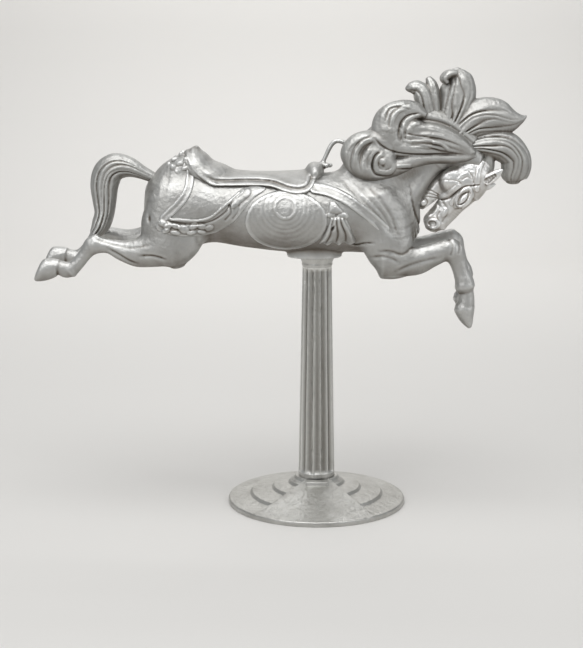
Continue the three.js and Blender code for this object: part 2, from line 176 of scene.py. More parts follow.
def strand_share(place, travel, strands, depth, wander):
    """The share of a lock's thickness that the grooves between its strands leave."""
    phase = (np.clip(place, -1, 1) * 0.5 + 0.5) * strands
    phase = phase + wander * np.sin(2.3 * phase + 7 * travel)
    ridge = np.abs(np.sin(np.pi * phase)) ** 0.8
    uneven = 0.62 + 0.38 * np.sin(2.4 * np.round(phase) + 1 + 3 * travel)
    edge = 1 - np.abs(np.clip(place, -1, 1)) ** 6
    groove = depth[0] + (depth[1] - depth[0]) * travel
    return 1 - groove * uneven * (1 - ridge) * edge


def limb(clay, rows, melt=3.0, strands=0, depth=(0, 0), steps=6, sole=None, wander=0.1):
    """An oval tube. Rows: x, z, half size across, half thickness in Y, and y where it isn't 0.
    `strands` ridges run along it, with grooves of `depth`, a share of the thickness, at its two
    ends. `sole` cuts it flat: a point x, z and the way the cut faces inwards."""
    path = smooth_rows([(*row, 0)[:5] for row in rows], steps)
    path[:, 2:4] = np.maximum(path[:, 2:4], 1.5)
    reach = path[:, 2:4].max(axis=1) + melt + 3 * clay.grain
    spine = path[:, [0, 4, 1]]
    cut, x, y, z = clay.window((spine - reach[:, None]).min(axis=0),
                               (spine + reach[:, None]).max(axis=0))
    across, along, wide, thick, middle, travel = along_spine(path, x, z)
    place = across / wide
    if strands:
        thick = thick * strand_share(place, travel, strands, depth, wander)
    cap = 0.35 * wide
    flat = place ** 2 + (along / cap) ** 2
    flat_slope = (across / wide ** 2) ** 2 + (along / cap ** 2) ** 2
    side = (y[None, :, None] - middle[:, None, :]) / thick[:, None, :]
    k = np.sqrt(flat[:, None, :] + side ** 2)
    slope = np.sqrt(flat_slope[:, None, :] + (side / thick[:, None, :]) ** 2) + 1e-6
    smallest = np.minimum(wide, thick)[:, None, :]
    distance = np.where(k > 0.35, k * (k - 1) / slope, -0.65 * smallest)
    if sole:
        spot, way = sole
        beyond = -(way[0] * (x[:, None] - spot[0]) + way[1] * (z[None, :] - spot[1]))
        distance = soft_max(distance, beyond[:, None, :], SOLE_EDGE)
    clay.add(cut, distance, melt)

# %% [markdown]
# Round lumps, such as a cheek, the rump or a boss, are eggs: ellipsoids that may be turned in
# side view.

# %% Lay an egg
def egg(clay, middle, half, melt=3.0, turn=0.0):
    """An ellipsoid, turned about the Y axis by `turn` radians."""
    reach = max(half) + melt + 3 * clay.grain
    cut, x, y, z = clay.window([m - reach for m in middle], [m + reach for m in middle])
    dx, dz = (x - middle[0])[:, None], (z - middle[2])[None, :]
    u = dx * math.cos(turn) + dz * math.sin(turn)
    w = -dx * math.sin(turn) + dz * math.cos(turn)
    v = (y - middle[1])[None, :, None] / half[1]
    flat = ((u / half[0]) ** 2 + (w / half[2]) ** 2)[:, None, :]
    slope = ((u / half[0] ** 2) ** 2 + (w / half[2] ** 2) ** 2)[:, None, :]
    k = np.sqrt(flat + v ** 2)
    distance = np.where(k > 0.3, k * (k - 1) / (np.sqrt(slope + (v / half[1]) ** 2) + 1e-6),
                        -0.7 * min(half))
    clay.add(cut, distance, melt)


sample_block = Clay((-30, -30, -30), (30, 30, 30), 3.0)
egg(sample_block, (0, 0, 0), (20, 15, 10))
print("an egg fills", round(float((sample_block.field < 0).mean()) * 100, 1), "% of its block")

# %% [markdown]
# The block is fired into a mesh by following its zero surface. Flat places get few, large faces and
# curved ones many small ones, so the mesh stays light and still shades smoothly. Two more things
# are read from the block: the exact surface direction, for clean reflections on bright metal, and
# how hollow each spot is. Hollows on a casting stay dull and dark, because no polishing wheel
# reaches them; their darkening here is also painted shade. Faces that look down are darkened too,
# and that is painted shade alone.

# %% Read the block
def blur(field, reach):
    """Box blur along the three axes."""
    for axis in range(3):
        total = np.cumsum(np.pad(field, [(reach + 1, reach) if k == axis else (0, 0)
                                         for k in range(3)], mode="edge"), axis=axis,
                          dtype=np.float32)
        size = field.shape[axis]
        head = np.take(total, range(2 * reach + 1, 2 * reach + 1 + size), axis=axis)
        tail = np.take(total, range(0, size), axis=axis)
        field = (head - tail) / (2 * reach + 1)
    return field


def sample(field, places):
    """Trilinear values of a block at grid places."""
    base = np.clip(np.floor(places).astype(int), 0, np.array(field.shape) - 2)
    part = places - base
    value = 0
    for corner in range(8):
        step = [(corner >> k) & 1 for k in range(3)]
        weight = np.ones(len(places))
        for k in range(3):
            weight = weight * (part[:, k] if step[k] else 1 - part[:, k])
        value = value + weight * field[base[:, 0] + step[0], base[:, 1] + step[1],
                                       base[:, 2] + step[2]]
    return value

# %% Fire the clay into a mesh
UNDERSIDE_PAINTED_SHADE = 2.0                 # how much painted shade darkens the faces that look down
THINNING = 0.01                 # how flat the surface must be before its faces are merged


def new_object(name, data, material=None):
    """A new object in the scene, from a mesh, a light or a camera."""
    if material:
        data.materials.append(material)
    thing = bpy.data.objects.new(name, data)
    bpy.context.scene.collection.objects.link(thing)
    return thing


def signed_volume(mesh):
    work = bmesh.new()
    work.from_mesh(mesh)
    volume = work.calc_volume(signed=True)
    work.free()
    return volume


def fire(clay, name, material):
    """The clay's surface as a mesh object, with its hollows and its painted underside shade in the
    attribute `hollow`.
    """
    field = clay.field
    grid = openvdb.FloatGrid(60.0)
    grid.copyFromArray(np.ascontiguousarray(np.clip(field, -60, 60), dtype=np.float32))
    places, triangles, quads = grid.convertToPolygons(isovalue=0.0, adaptivity=THINNING)
    spots = places.astype(np.float64)
    corners = np.concatenate([triangles.ravel(), quads.ravel()]).astype(np.int32)
    starts = np.concatenate([np.arange(len(triangles)) * 3,
                             triangles.size + np.arange(len(quads)) * 4]).astype(np.int32)
    origin = np.array([clay.x[0], clay.y[0], clay.z[0]], float)
    mesh = bpy.data.meshes.new(name)
    mesh.vertices.add(len(spots))
    mesh.vertices.foreach_set("co", ((spots * clay.grain + origin) * MM).ravel())
    mesh.loops.add(len(corners))
    mesh.loops.foreach_set("vertex_index", corners)
    mesh.polygons.add(len(starts))
    mesh.polygons.foreach_set("loop_start", starts)
    mesh.update(calc_edges=True)
    mesh.validate()
    if signed_volume(mesh) < 0:
        mesh.flip_normals()
    near = np.clip(field, -12, 12).astype(np.float32)
    normals = np.stack([sample(slope, spots) for slope in np.gradient(near)], axis=1)
    normals /= np.linalg.norm(normals, axis=1, keepdims=True) + 1e-9
    mesh.polygons.foreach_set("use_smooth", np.ones(len(mesh.polygons), bool))
    mesh.normals_split_custom_set_from_vertices(normals.astype(np.float32))
    reach = max(1, round(5.0 / clay.grain))
    # painted shade: the blur term darkens hollows, partly as dull casting skin and partly as
    # painted shade, and the last term darkens faces that look down as painted shade alone
    hollow = -sample(blur(near, reach) - near, spots) + UNDERSIDE_PAINTED_SHADE * np.clip(-normals[:, 2], 0, 1)
    layer = mesh.attributes.new("hollow", "FLOAT", "POINT")
    layer.data.foreach_set("value", hollow.astype(np.float32))
    print(f"{name}: {len(triangles) + 2 * len(quads)} triangles, "
          f"hollow {hollow.min():.2f} to {hollow.max():.2f}")
    return new_object(name, mesh, material)

# %% [markdown]
# Relief that lies on the body, such as straps and muscle lines, is easier to draw than to model.
# It is drawn in side view, as a height in millimetres at each point, and then laid on the clay
# of one side. The drawing tools are the distance to a line and to an outline.

# %% Distances in side view
def to_line(px, pz, points, steps=6):
    """Distance to a smooth line, and the share of the line travelled there."""
    path = smooth_rows(points, steps)
    best, share = np.full(px.shape, np.inf), np.zeros(px.shape)
    lengths = np.hypot(*np.diff(path, axis=0).T)
    total, gone = lengths.sum(), 0.0
    for a, b, size in zip(path[:-1], path[1:], lengths):
        way = (b - a) / max(size, 1e-6)
        s = (px - a[0]) * way[0] + (pz - a[1]) * way[1]
        n = (pz - a[1]) * way[0] - (px - a[0]) * way[1]
        t = np.clip(s, 0, size)
        gap = np.hypot(n, s - t)
        closer = gap < best
        best = np.where(closer, gap, best)
        share = np.where(closer, (gone + t) / total, share)
        gone += size
    return best, share


def in_outline(px, pz, outline, steps=4):
    """Distance to a closed smooth outline: negative inside."""
    ring = list(outline) + [outline[0]]
    points = smooth_rows(ring, steps) if steps > 1 else np.asarray(ring, float)
    best = np.full(px.shape, np.inf)
    inside = np.zeros(px.shape, bool)
    for a, b in zip(points[:-1], points[1:]):
        step = b - a
        size2 = max(float(step @ step), 1e-9)
        t = np.clip(((px - a[0]) * step[0] + (pz - a[1]) * step[1]) / size2, 0, 1)
        best = np.minimum(best, np.hypot(px - a[0] - t * step[0], pz - a[1] - t * step[1]))
        crosses = ((a[1] > pz) != (b[1] > pz))
        with np.errstate(divide="ignore", invalid="ignore"):
            meet = a[0] + (pz - a[1]) * step[0] / step[1]
        inside ^= crosses & (px < meet)
    return np.where(inside, -best, best)

# %% [markdown]
# Three tools are enough for all the relief: a raised bead, a cut groove, and a pillow with a
# rounded edge. A list of lines is drawn with one of them, and may fade at the lines' ends.

# %% Beads, grooves and pillows
def bead(distance, width, height):
    """A half-round raised line."""
    return height * np.sqrt(np.clip(1 - (distance / (width / 2)) ** 2, 0, 1))


def vee(distance, width, depth):
    """A soft groove."""
    return -depth * np.clip(1 - distance / (width / 2), 0, 1) ** 1.5


def pillow(distance, height, round_off):
    """A raised shape with a rounded edge, from its signed outline distance."""
    rise = np.clip(-distance / round_off, 0, 1)
    return height * np.sqrt(1 - (1 - rise) ** 2)


def relief(px, pz, tool, lines, fade=lambda share: 1.0):
    """The height of many lines, each a list of points, a width and a height or depth."""
    height = np.zeros(px.shape)
    for points, width, rise in lines:
        distance, share = to_line(px, pz, points)
        height += tool(distance, width, rise) * fade(share)
    return height


print("a 10 mm bead is", bead(0, 10, 2.0), "mm high in its middle and a groove", vee(0, 10, 2.0))

# %% [markdown]
# The finish is cast aluminium that was ground and roughly buffed: a grey, slightly warm metal with
# soft, broad reflections. High spots are brighter and smoother, and hollows keep the dull
# grey-brown skin of the casting. The hollows' darker colour is also painted shade, and faces that
# look down get painted shade in their colour as well. One list of tones drives both colour and
# roughness. It comes from the hollows and undersides of each piece, made uneven by blotches, as
# hand work leaves them.

# %% Nodes and colours
def linear(code):
    """An sRGB hex colour as the linear values that shaders use."""
    parts = [int(code[i:i + 2], 16) / 255 for i in (1, 3, 5)]
    return (*[p / 12.92 if p <= 0.04045 else ((p + 0.055) / 1.055) ** 2.4 for p in parts], 1.0)


def add_node(tree, kind, settings=None, links=None):
    """One node. A setting is an attribute, or an input's name or number; a link is an input."""
    node = tree.nodes.new(kind)
    for key, value in (settings or {}).items():
        if isinstance(key, str) and hasattr(node, key):
            setattr(node, key, value)
        else:
            node.inputs[key].default_value = value
    for key, socket in (links or {}).items():
        tree.links.new(socket, node.inputs[key])
    return node


BLOTCH_MM = 71.43               # blotches of wear, a hand's breadth apart
DENT_MM = 16.667                # shallow dents from the rammed sand and the grinder
BLOTCH_SHARE = 0.36             # how much the blotches shift the tone
DARKEST_DIRT_AND_SHADE = "#48423a"             # the darkest tone, at the bottom of the deepest grooves and on steep undersides: partly old dirt, partly painted shade
print("bare aluminium in linear light:", [round(part, 3) for part in linear("#b1b0ad")])

# %% [markdown]
# The bumps are real sizes. A sand casting's pits are under a millimetre across, too fine to
# show at a few steps, so they are drawn two or three millimetres wide. The dents between them are
# as they are on the metal.

# %% The finish of a casting
def buffed_aluminium(name, tones, smooth, rough, pit_mm, stretch=1.0):
    """Cast aluminium. Tones: high spots, the rest, and hollows and undersides, whose darker tone is
    partly dirt and partly painted shade. `stretch` under 1 draws the blotches out into upright
    streaks."""
    material = bpy.data.materials.new(name)
    material.use_nodes = True
    tree = material.node_tree
    tree.nodes.clear()
    place = add_node(tree, "ShaderNodeTexCoord").outputs["Object"]
    hollow = add_node(tree, "ShaderNodeAttribute", {"attribute_name": "hollow"}).outputs["Fac"]
    # the tone follows `hollow`: dirt and painted shade in the hollows, painted shade on undersides
    spread = add_node(tree, "ShaderNodeMath", {"operation": "MULTIPLY_ADD", 1: 0.16, 2: 0.42},
                      {0: hollow}).outputs[0]
    drawn_out = add_node(tree, "ShaderNodeVectorMath",
                         {"operation": "MULTIPLY", 1: (1, 1, stretch)}, {0: place}).outputs[0]
    blotch = add_node(tree, "ShaderNodeTexNoise", {
        "Scale": 1 / (BLOTCH_MM * MM), "Detail": 5.0, "Roughness": 0.6}, {0: drawn_out})
    mottle = add_node(tree, "ShaderNodeMath", {
        "operation": "MULTIPLY_ADD", 1: BLOTCH_SHARE, 2: -BLOTCH_SHARE / 2},
        {0: blotch.outputs["Fac"]}).outputs[0]
    tone = add_node(tree, "ShaderNodeMath", {"operation": "ADD"}, {0: spread, 1: mottle}).outputs[0]
    pits = add_node(tree, "ShaderNodeTexNoise", {"Scale": 1 / (pit_mm * MM), "Detail": 3.0},
                    {0: place})
    dents = add_node(tree, "ShaderNodeTexNoise", {"Scale": 1 / (DENT_MM * MM), "Detail": 4.0},
                     {0: place})
    fine = add_node(tree, "ShaderNodeBump", {"Strength": 0.4, "Distance": 0.8 * MM},
                    {"Height": pits.outputs["Fac"]})
    broad = add_node(tree, "ShaderNodeBump", {"Strength": 0.9, "Distance": 4 * MM},
                     {"Height": dents.outputs["Fac"], "Normal": fine.outputs[0]})
    bright, dull, dirt_and_shade = (linear(code) for code in tones)
    shader = add_node(tree, "ShaderNodeBsdfPrincipled", {"Metallic": 1.0},
                      {"Normal": broad.outputs[0]})
    for socket, stops in (
            ("Base Color", ((0.22, bright), (0.46, dull), (0.72, dirt_and_shade), (1.0, linear(DARKEST_DIRT_AND_SHADE)))),
            ("Roughness", ((0.28, (smooth,) * 3 + (1,)), (0.60, (rough,) * 3 + (1,)),
                           (0.9, (0.75,) * 3 + (1,))))):
        steps = add_node(tree, "ShaderNodeValToRGB", links={0: tone})
        elements = steps.color_ramp.elements
        while len(elements) < len(stops):
            elements.new(0.5)
        for element, (spot, colour) in zip(elements, stops):
            element.position, element.color = spot, colour
        tree.links.new(steps.outputs[0], shader.inputs[socket])
    add_node(tree, "ShaderNodeOutputMaterial", links={0: shader.outputs[0]})
    return material

# %% [markdown]
# Five castings' finishes, from the brightest to the dullest. The head was polished by many hands
# and mirrors the room, and its paler tones are also painted light that lifts a head facing down.
# The body has the broad gleam of a buffing wheel. The hair is satin, since the wheel only skims the
# locks. Rain has drawn streaks down the pillar, and the foot plate was left nearly as it came out
# of the sand. In each finish the last tone, for hollows and undersides, is partly dirt and partly
# painted shade.

# %% The five finishes
# the head's near-white tones include painted light for a head that faces down
HEAD_METAL = buffed_aluminium(
    "polished_cast_aluminium", ("#fafaf9", "#e4e3e1", "#a59e96"), 0.31, 0.44, 3.0)
HORSE_METAL = buffed_aluminium(
    "buffed_cast_aluminium", ("#d3d3d1", "#b1b0ad", "#7c756d"), 0.43, 0.53, 3.0)
HAIR_METAL = buffed_aluminium(
    "satin_cast_aluminium", ("#c9c9c6", "#b0afac", "#7f7870"), 0.47, 0.57, 3.0)
PILLAR_METAL = buffed_aluminium(
    "streaked_cast_aluminium", ("#efefec", "#bdbcb8", "#5f5951"), 0.28, 0.46, 2.5, stretch=0.08)
STAND_METAL = buffed_aluminium(
    "dull_cast_aluminium", ("#dadad7", "#b5b4b0", "#77726b"), 0.32, 0.46, 2.5)
print("materials:", [metal.name for metal in bpy.data.materials])

# %% [markdown]
# A finished piece rides on the one body and stands for the solid of its casting. Everything on the
# horse belongs to one casting.

# %% Settle the pieces
GRAIN = 1.0


def settle(piece, node):
    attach(piece, BODY)
    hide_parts(node)


def cast(clay, name, metal):
    """Fires a block of clay as one piece of the horse."""
    settle(fire(clay, name, metal), "horse")


print("grain of the clay: times", GRAIN)

# %% [markdown]
# The stations below are the horse's anatomy. The body is a long loaf, narrow at the flank, with
# a lump on the croup that the saddle's rosette sits on. The neck arches up and forward.

# %% Torso and neck
NEAR, FAR = -1, 1               # the side of the horse that is decorated, and the plain one
TORSO = [                       # x, middle z, half height, half width
    (-440, 892, 104, 104), (-420, 890, 112, 112), (-360, 890, 118, 122), (-290, 886, 103, 124),
    (-200, 874, 105, 127), (-100, 868, 111, 129), (0, 868, 116, 128), (80, 872, 117, 125),
    (150, 872, 119, 116), (210, 866, 111, 102), (250, 862, 97, 79), (275, 862, 75, 52),
    (283, 864, 30, 22)]
NECK = [
    (110, 925, 70, 82), (165, 985, 96, 78), (225, 1035, 96, 67), (290, 1056, 83, 57),
    (350, 1056, 64, 51), (410, 1042, 50, 47), (462, 1018, 34, 42)]
BELLY_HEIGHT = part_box("pillar")[1].z / MM + 0.3     # the flat boss that bears on the pillar
THROAT = [
    (240, 880, 50, 68), (262, 915, 41, 63), (290, 950, 31, 54), (318, 985, 27, 46),
    (338, 1010, 25, 40)]
LEG_SPREAD = 77
CROUP_SPOT, CROUP_SIZE, CROUP_LEAN = (-398, 998), (64, 80, 36), 0.52
print("from chest to rump:", TORSO[-1][0] - TORSO[0][0] + TORSO[0][2], "mm")

# %% [markdown]
# In a leap the hind legs are flung out behind and the fore legs are drawn up in front. Each leg
# is four or five limbs, from the heavy muscle of thigh or shoulder down to the hoof. The far
# pair is the same, shifted a little, so that both show from the side.

# %% Legs
THIGH = [
    (-432, 915, 48, 28), (-426, 860, 80, 42), (-412, 800, 87, 47), (-405, 752, 60, 42),
    (-400, 724, 20, 20)]
GASKIN = [
    (-420, 775, 51, 41), (-480, 768, 48, 39), (-520, 763, 42, 35), (-560, 768, 30, 27),
    (-600, 781, 21, 21), (-640, 784, 24, 21), (-656, 786, 15, 13)]
HIND_CANNON = [
    (-628, 806, 13, 13), (-645, 786, 24, 20), (-668, 757, 19, 16), (-692, 728, 19, 16),
    (-712, 711, 23, 20)]
HIND_PASTERN = [(-702, 713, 18, 17), (-722, 712, 23, 20), (-745, 720, 20, 19), (-756, 720, 21, 20)]
HIND_HOOF = [(-748, 719, 23, 21), (-754, 719, 26, 24), (-785, 714, 33, 29), (-825, 712, 35, 31)]
HIND_TOE = (-817.5, 684)
HIND_SOLE_WAY = (0.914, -0.405)
FAR_HIND = (0, 14)
SHOULDER = [
    (160, 920, 46, 30), (178, 860, 73, 41), (200, 790, 73, 46), (212, 735, 57, 42),
    (214, 699, 34, 28)]
FOREARM = [
    (190, 738, 49, 41), (240, 735, 42, 37), (285, 739, 41, 33), (325, 754, 35, 29),
    (360, 767, 31, 27), (392, 774, 29, 26), (406, 775, 14, 14)]
FORE_CANNON = [
    (376, 790, 21, 19), (390, 766, 32, 27), (403, 736, 25, 21), (413, 706, 23, 19),
    (422, 682, 27, 23), (425, 663, 29, 26), (427, 653, 24, 22)]
FORE_PASTERN = [(427, 656, 20, 18), (430, 640, 22, 20), (429, 616, 25, 23), (425, 600, 29, 26)]
FORE_HOOF = [
    (424, 603, 29, 26), (425, 598, 30, 27), (430, 576, 23, 25), (437, 556, 14, 19),
    (441, 544, 6, 10)]
FAR_FORE = (14, 8)


def set_leg(clay, side, rows, shift, melt):
    dx, dz = shift if side == FAR else (0, 0)
    sole = ((HIND_TOE[0] + dx, HIND_TOE[1] + dz), HIND_SOLE_WAY) if rows is HIND_HOOF else None
    limb(clay, [(x + dx, z + dz, deep, wide, side * LEG_SPREAD) for x, z, deep, wide in rows],
         melt, sole=sole)


LEG_PARTS = (                   # stations, the shift of the far leg, melt
    (THIGH, FAR_HIND, 26), (GASKIN, FAR_HIND, 16), (HIND_CANNON, FAR_HIND, 9),
    (HIND_PASTERN, FAR_HIND, 6), (HIND_HOOF, FAR_HIND, 2),
    (SHOULDER, FAR_FORE, 24), (FOREARM, FAR_FORE, 14), (FORE_CANNON, FAR_FORE, 8),
    (FORE_PASTERN, FAR_FORE, 3), (FORE_HOOF, FAR_FORE, 2))
print("legs stand", 2 * LEG_SPREAD, "mm apart")

# %% [markdown]
# The near side gets the modeller's finer forms: folds at shoulder and chest, tendons and muscle
# edges on the legs, and streaks of the coat that run from the withers down to the chest and
# close up as they go.

# %% Lines of the flesh
MUSCLE_EDGES = (                # a line, its width and its depth
    ([(-600, 777), (-570, 762), (-540, 744), (-515, 735)], 15, 4.5),
    ([(-510, 757), (-470, 758), (-432, 748)], 14, 4.5),
    ([(-640, 806), (-600, 792), (-560, 782), (-520, 780), (-470, 792)], 12, 2.5),
    ([(-352, 836), (-345, 800), (-335, 775)], 26, 2.0),
    ([(150, 752), (185, 757), (212, 750), (232, 738)], 18, 3.5),
    ([(176, 770), (205, 772), (240, 762), (268, 778)], 18, 4.0),
    ([(222, 712), (250, 726), (300, 742), (350, 752)], 20, 3.5),
    ([(262, 776), (290, 783), (330, 796)], 12, 4.0),
    ([(84, 795), (110, 786), (132, 792), (160, 795)], 9, 4.0))
TENDONS = (([(360, 808), (378, 796), (385, 778), (380, 760)], 13, 3.0),
           ([(398, 800), (405, 782), (402, 764)], 11, 2.5))
COAT_STREAKS = []
for k in range(11):
    t = k / 10
    COAT_STREAKS.append(([
        (34 + 95 * t, 1000 - 30 * t), (88 + 90 * t, 942 - 22 * t), (150 + 62 * t, 886 - 18 * t),
        (196 + 30 * t, 832 - 8 * t), (222 + 22 * t, 806 + 6 * t)], 15, 0.8 + 0.7 * (3 * k % 4)))
CHEST_FOLDS = [(
    [(204 - 3 * k, 812 + k * 26), (236, 806 + k * 28), (272, 814 + k * 30)], 15, depth)
    for k, depth in enumerate((1.2, 1.6, 0.7, 1.1, 0.6))]


def flesh_lines(px, pz):
    """Folds and muscle edges of the near side, as a height map."""
    height = relief(px, pz, vee, MUSCLE_EDGES, lambda share: 0.35 + 0.65 * (
        soft_step(0, 0.2, share) * soft_step(1, 0.8, share)))
    height += relief(px, pz, vee, COAT_STREAKS,
                     lambda share: soft_step(0.05, 0.3, share) * soft_step(1, 0.8, share))
    height += relief(px, pz, vee, CHEST_FOLDS, lambda share: soft_step(0, 0.3, share))
    elbow = np.hypot((px - 204) * 0.7, pz - 764)
    flank = np.hypot((px + 478) * 1.6, (pz - 862) * 0.7)
    return height + vee(elbow, 18, 3) + vee(flank, 24, 6) + relief(px, pz, vee, TENDONS)


print("muscle edges and tendons:", len(MUSCLE_EDGES) + len(TENDONS))

# %% [markdown]
# Torso, neck and legs are laid in one block, so that every joint has its fillet. The belly ends
# in a flat boss that bears on the pillar, and nothing hangs below it there.

# %% Model the bare horse
BOSS_X, BOSS_RADIUS, BOSS_TOP = -8, 80, 800
BOSS_SQUEEZE = 0.8              # the boss is an oval, narrower across the horse


def lay_torso(clay):
    limb(clay, TORSO, 6, steps=5)
    for z, height in ((932, 58), (895, 86), (862, 74)):
        egg(clay, (-420, 0, z), (74, 103, height), 32)
    egg(clay, (CROUP_SPOT[0], 0, CROUP_SPOT[1]), CROUP_SIZE, 30, CROUP_LEAN)


def add_boss(clay):
    """The flat boss, and the level cut under the belly beside it."""
    from_axis = np.hypot(clay.x[:, None, None] - BOSS_X, clay.y[None, :, None] / BOSS_SQUEEZE)
    floor = BELLY_HEIGHT - clay.z[None, None, :]
    boss = soft_max(from_axis - BOSS_RADIUS, floor, 3)
    boss = soft_max(boss, clay.z[None, None, :] - BOSS_TOP, 3)
    clay.field = soft_min(boss.astype(np.float32), clay.field, 10)
    beyond = 1000 * (np.abs(clay.x - BOSS_X) > BOSS_RADIUS + 16)
    clay.field = np.maximum(clay.field, floor - beyond[:, None, None])


clay = Clay((-850, -146, 530), (500, 146, 1160), 3.0 * GRAIN)
lay_torso(clay)
limb(clay, NECK, 24)
limb(clay, THROAT, 34)
for side in (NEAR, FAR):
    for part in LEG_PARTS:
        set_leg(clay, side, *part)
clay.swell(flesh_lines(*clay.plan()), soft_step(-20, -50, clay.y))
add_boss(clay)
cast(clay, "body", HORSE_METAL)

# %% [markdown]
# The head hangs tucked against the neck, with its mouth open. It is modelled in its own
# directions: `s` runs from the poll, between the ears, to the muzzle, and `t` towards the front
# of the face. Sockets, nostrils and cheeks are small eggs on both sides.

# %% Shapes of the head
POLL = np.array([475.0, 1000.0])
HEAD_WAY = np.array([-0.671, -0.741])
FACE_WAY = np.array([0.741, -0.671])


def on_head(s, t):
    return tuple(POLL + s * HEAD_WAY + t * FACE_WAY)


def head_rows(rows):
    return [(*on_head(*row[:2]), *row[2:]) for row in rows]


SKULL = [
    (-14, -4, 34, 30), (10, -6, 56, 43), (45, -10, 68, 50), (85, -12, 69, 49), (120, -3, 55, 40),
    (155, 7, 39, 33), (190, 8, 36, 30), (212, 9, 35, 31), (229, 14, 19, 18)]
JAW = [
    (90, -44, 31, 28), (118, -54, 31, 29), (146, -56, 26, 26), (170, -55, 24, 24),
    (189, -53, 21, 21), (202, -50, 13, 13)]
HEAD_LUMPS = (                  # s, t, y, half sizes, melt, turn
    (102, 20, 41, (26, 9, 16), 8, 0.83),        # eye socket
    (208, 10, 25, (18, 9, 15), 6, 0.83),        # nostril
    (84, -42, 34, (36, 19, 34), 10, 0.0),       # cheek
    (158, 8, 30, (20, 6, 9), 8, 0.83),          # crest of the face
    (188, -54, 15, (14, 8, 13), 4, 0.0))        # chin
EARS = (                        # the near ear is laid back, the far one points forward
    [(23, 31, 14, 11, -30), (4, 36, 15, 12, -36), (-19, 40, 11, 8, -40), (-35, 43, 2, 2, -42)],
    [(46, 40, 12, 12, 34), (30, 54, 12, 12, 38), (17, 63, 9, 8, 40), (7, 70, 2, 2, 41)])
print("from poll to muzzle:", SKULL[-1][0] + SKULL[-1][2], "mm")

# %% [markdown]
# Eyelids, bridle, lips and nostril are drawn as beads and grooves. The eye is an almond: the
# space that two circles share.

# %% Lines of the face
EYE, CHIN, NOSTRIL = (418, 914), (304, 900), (332, 840)
EYE_WAY = (0.62, 0.78)          # the long way of the almond
FACE_GROOVES = (
    ([(462, 953), (444, 951), (424, 949), (406, 938), (392, 925), (376, 913), (358, 908)], 11, 5),
    ([(404, 897), (420, 901), (432, 914), (438, 930)], 7, 1.6),
    ([(448, 944), (449, 968), (452, 995)], 6, 1.5),
    ([(352, 968), (372, 968), (398, 966), (410, 958)], 7, 2.0),
    ([(434, 990), (443, 976), (446, 960)], 8, 3.0), ([(412, 968), (428, 976), (440, 970)], 8, 2.0),
    *(([(286 + k * 4, 908 + k * 12), (308, 917 + k * 11), (332, 915 + k * 9), (350, 912 + k * 5)],
       7, 2.8) for k in range(3)),
    ([(352, 874), (346, 862), (350, 850)], 9, 2.5),
    ([(362, 900), (376, 880), (372, 862), (362, 846)], 16, 2.5))
FACE_BEADS = (
    ([(404, 950), (388, 938), (372, 926), (356, 920)], 15, 3.0),
    ([(386, 898), (396, 920), (414, 939), (434, 946)], 12, 2.4),
    ([(440, 938), (446, 922), (438, 902), (420, 886)], 9, 2.5),
    ([(458, 938), (459, 965), (462, 995), (474, 1018)], 13, 3.0),
    ([(398, 958), (406, 974), (424, 986), (446, 990)], 9, 1.2),
    ([(340, 904), (346, 886), (334, 868), (322, 862)], 8, 2.0))


def head_lines(px, pz):
    """Relief of the face as a height map."""
    height = relief(px, pz, vee, FACE_GROOVES) + relief(px, pz, bead, FACE_BEADS)
    dx, dz = px - EYE[0], pz - EYE[1]
    u, v = dx * EYE_WAY[0] + dz * EYE_WAY[1], dz * EYE_WAY[0] - dx * EYE_WAY[1]
    almond = np.maximum(np.hypot(u, v - 24), np.hypot(u, v + 24)) - 32
    height += pillow(almond, 3.6, 8) + vee(np.abs(almond - 1.5), 7, 1.5) + bead(almond - 8, 10, 2.4)
    chin = np.hypot(px - CHIN[0], pz - CHIN[1])
    beard = np.hypot(px - CHIN[0] - 1, pz - CHIN[1])
    height += pillow(chin - 10, 4.0, 8) + vee(np.abs(beard - 13), 6, 3)
    nostril = np.hypot((px - NOSTRIL[0]) / 1.35, pz - NOSTRIL[1])
    return height + bead(nostril - 13, 10, 3.5) - 4 * np.clip(1 - nostril / 11, 0, 1)


print("lines of the face:", len(FACE_GROOVES) + len(FACE_BEADS))

# %% [markdown]
# Ears and mouth are cut out of the clay: the ear with a row of small pits along its cup, and
# the mouth with a slot that opens towards the lips.

# %% Model the head
MOUTH_CORNER, MOUTH_T, GAPE = 150, -31, 0.10


def cup_ear(clay, rows):
    (x0, z0, _, _, y0), (x1, z1, _, _, y1) = rows[0], rows[2]
    for share in (0.1, 0.3, 0.5, 0.7):
        x, z = x0 + (x1 - x0) * share, z0 + (z1 - z0) * share
        y = (y0 + (y1 - y0) * share) * 1.3
        size = 9 - 5 * share
        pit = np.sqrt(((clay.x - x)[:, None, None] / size) ** 2
                      + ((clay.y - y)[None, :, None] / 9) ** 2
                      + ((clay.z - z)[None, None, :] / size) ** 2) - 1
        clay.field = soft_max(clay.field, -(pit * 7).astype(np.float32), 2)


def open_mouth(clay):
    px, pz = clay.plan()
    s = (px - POLL[0]) * HEAD_WAY[0] + (pz - POLL[1]) * HEAD_WAY[1]
    t = (px - POLL[0]) * FACE_WAY[0] + (pz - POLL[1]) * FACE_WAY[1]
    gape = GAPE * np.clip(s - MOUTH_CORNER, 0, 80)
    slot = np.maximum(np.abs(t - MOUTH_T + gape) - 2 - gape, MOUTH_CORNER - s)
    clay.field = soft_max(clay.field, -slot[:, None, :].astype(np.float32), 3)


